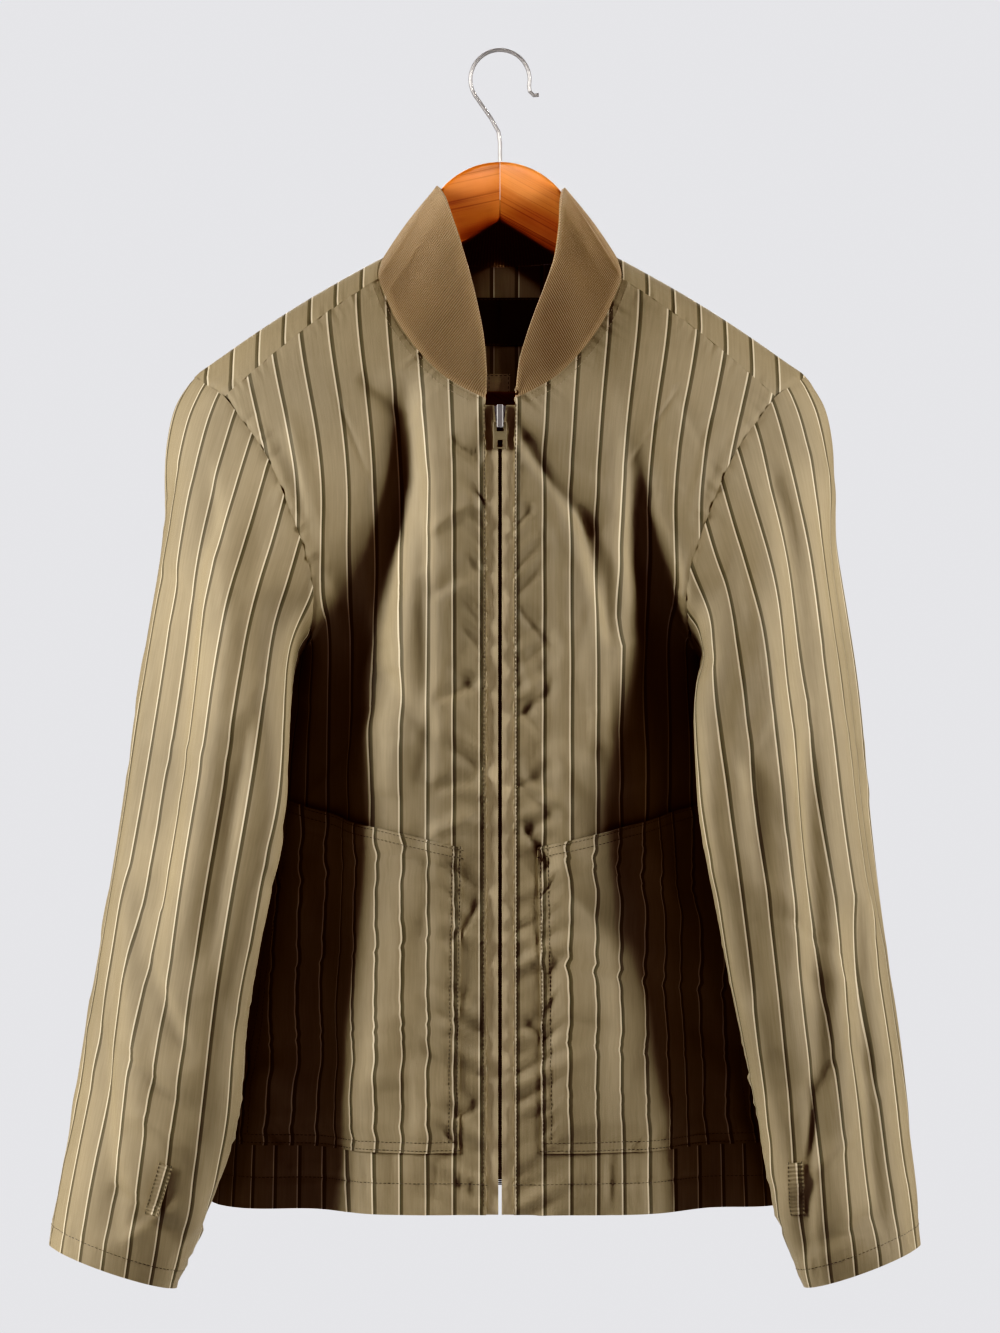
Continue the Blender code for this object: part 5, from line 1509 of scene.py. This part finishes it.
def beads_on(name, lines, pitch, length, radius, across, finish):
    """Runs the tree on the lines and keeps the result as one plain mesh."""
    mesh = bpy.data.meshes.new(name)
    points, edges = [], []
    for line in lines:
        start = len(points)
        points.extend(line.tolist())
        edges.extend((start + k, start + k + 1) for k in range(len(line) - 1))
    mesh.from_pydata(points, edges, [])
    carrier = bpy.data.objects.new(name, mesh)
    step = carrier.modifiers.new("beads", "NODES")
    step.node_group = BEADS
    for title, value in (
            ("Pitch", pitch), ("Bead length", length), ("Bead radius", radius), ("Across", across),
            ("Finish", finish)):
        step[BEAD_SOCKETS[title]] = value
    plain = mesh_of(carrier)
    plain.name = name
    print(name, "beads on", len(lines), "lines,", len(plain.polygons), "faces")
    return show(name, plain, finish)


COIL_PITCH, COIL_WIDE, COIL_RADIUS = 0.00125, 0.0050, 0.00052
CHAIN_TOP = SLIDER_Z - SLIDER_TALL / 2 - 0.0003
chain_z = np.linspace(CHAIN_TOP - 0.0006, ZIP_FOOT + 0.0006, 120)
chain_y = tape_depth(chain_z) + TAPE + 0.0009
chain_line = np.stack([np.zeros(len(chain_z)), chain_y, chain_z], axis=1)
coil = beads_on("zip_coil", [chain_line], COIL_PITCH, COIL_WIDE, COIL_RADIUS, True, coil_finish)
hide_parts("zip_chain")

# %% [markdown]
# ## The stitches
# Every row of sewing is laid on the finished cloth, so it dips and rises with the puckers. A
# stitch shows as a short rounded length of thread, and the gap between two is where the thread
# goes through.

# %% Stitches
STITCH_PITCH, STITCH_LONG, STITCH_RADIUS = 0.0030, 0.0023, 0.00026

for name, lines, finish in (("stitches", stitch_lines, thread), ("neck_stitches", neck_lines, neck_thread)):
    piece = beads_on(name, lines, STITCH_PITCH, STITCH_LONG, STITCH_RADIUS, False, finish)

# %% [markdown]
# ## The hanger's arms
# Each arm is sawn from a board, rounded along its edges with a router and glued to the other one.
# A flat curve filled and bevelled gives that shape. The curve runs past the middle of the hanger,
# and a cut there leaves the flat face of the glue line.

# %% Hanger arms
WOOD, WOOD_EDGE = 0.0130, 0.0030
CROWN_RADIUS, CROWN_TOP, HANGER_NOTCH = 0.056, -0.080, -0.1225
HANGER_TOP = table(
    Spot, 50, 0, -113,  59, 0, -129,  72, 0, -149,  90, 0, -164,  142, 0, -190,
    168, 0, -205,  190, 0, -219.5,  204, 0, -232,  207, 0, -245,  202, 0, -259)
HANGER_FOOT = table(Spot, 192, 0, -262,  184.5, 0, -257,  180, 0, -238,  150, 0, -212,  90, 0, -179)
GLUE_GAP, PAST_MIDDLE = 0.00015, 0.012


def arm_outline():
    """The arm's edge in x and z, from above the middle, round its end, and back to the notch."""
    lowest = math.asin((HANGER_TOP[0].z - CROWN_TOP + CROWN_RADIUS) / CROWN_RADIUS)
    arc = []
    for angle in np.linspace(math.pi / 2, lowest, 33)[:-1]:
        arc.append((CROWN_RADIUS * math.cos(angle), CROWN_TOP - CROWN_RADIUS * (1 - math.sin(angle))))
    top, foot = curve(HANGER_TOP, 90)[:, [0, 2]], curve(HANGER_FOOT, 48)[:, [0, 2]]
    slope = (foot[-1][1] - HANGER_NOTCH) / foot[-1][0]
    beyond = HANGER_NOTCH - slope * PAST_MIDDLE
    return [*arc, *top, *foot, (0.0, HANGER_NOTCH), (-PAST_MIDDLE, beyond), (-PAST_MIDDLE, CROWN_TOP)]


def carve_arm(name, sign, finish):
    line = bpy.data.curves.new(name, "CURVE")
    line.dimensions, line.fill_mode, line.extrude = "2D", "BOTH", WOOD / 2 - WOOD_EDGE
    line.bevel_depth, line.bevel_resolution, line.offset = WOOD_EDGE, 4, -WOOD_EDGE
    outline = arm_outline()
    spline = line.splines.new("POLY")
    spline.points.add(len(outline) - 1)
    for point, (x, z) in zip(spline.points, outline):
        point.co = (sign * x, z, 0.0, 1.0)
    spline.use_cyclic_u = True
    work = bmesh.new()
    work.from_mesh(mesh_of(bpy.data.objects.new(name, line)))
    bmesh.ops.remove_doubles(work, verts=work.verts[:], dist=0.00001)
    everything = work.verts[:] + work.edges[:] + work.faces[:]
    sliced = bmesh.ops.bisect_plane(
        work, geom=everything, plane_co=(sign * GLUE_GAP, 0, 0), plane_no=(-sign, 0, 0), clear_outer=True)
    rim = [item for item in sliced["geom_cut"] if isinstance(item, bmesh.types.BMEdge)]
    bmesh.ops.contextual_create(work, geom=rim)
    for vertex in work.verts:
        vertex.co = (vertex.co.x, -vertex.co.z, vertex.co.y)
    bmesh.ops.recalc_face_normals(work, faces=work.faces[:])
    mesh = bpy.data.meshes.new(name)
    work.to_mesh(mesh)
    work.free()
    print(name, len(mesh.polygons), "faces")
    return show(name, smoothed(mesh, 35), finish)


for name, finish in (("left", wood_left), ("right", wood_right)):
    arm = carve_arm(f"hanger_arm_{name}_wood", SIDES[name], finish)
    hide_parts(f"hanger_arm_{name}")

# %% [markdown]
# ## Hard pieces
# The solids of the trouser bar, the hook, the zip's slider and the pull tab already have their
# true shapes, so they stay and only get their finishes.

# %% Hard pieces
for node, finish in (
        ("trouser_bar", wood_left), ("hook", steel), ("zip_slider", steel), ("zip_pull_tab", enamel)):
    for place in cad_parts[node].material_slots:
        place.material = finish
    print("kept", node)

# %% [markdown]
# ## Sizes and end
# The last step prints how many pieces are shown and how many triangles they have.

# %% Finish
bpy.context.view_layer.update()
shown = [item for item in bpy.data.objects if item.type == "MESH" and not item.hide_render]
total = sum(sum(len(face.vertices) - 2 for face in item.data.polygons) for item in shown)
print("shown pieces", len(shown), "triangles", total)
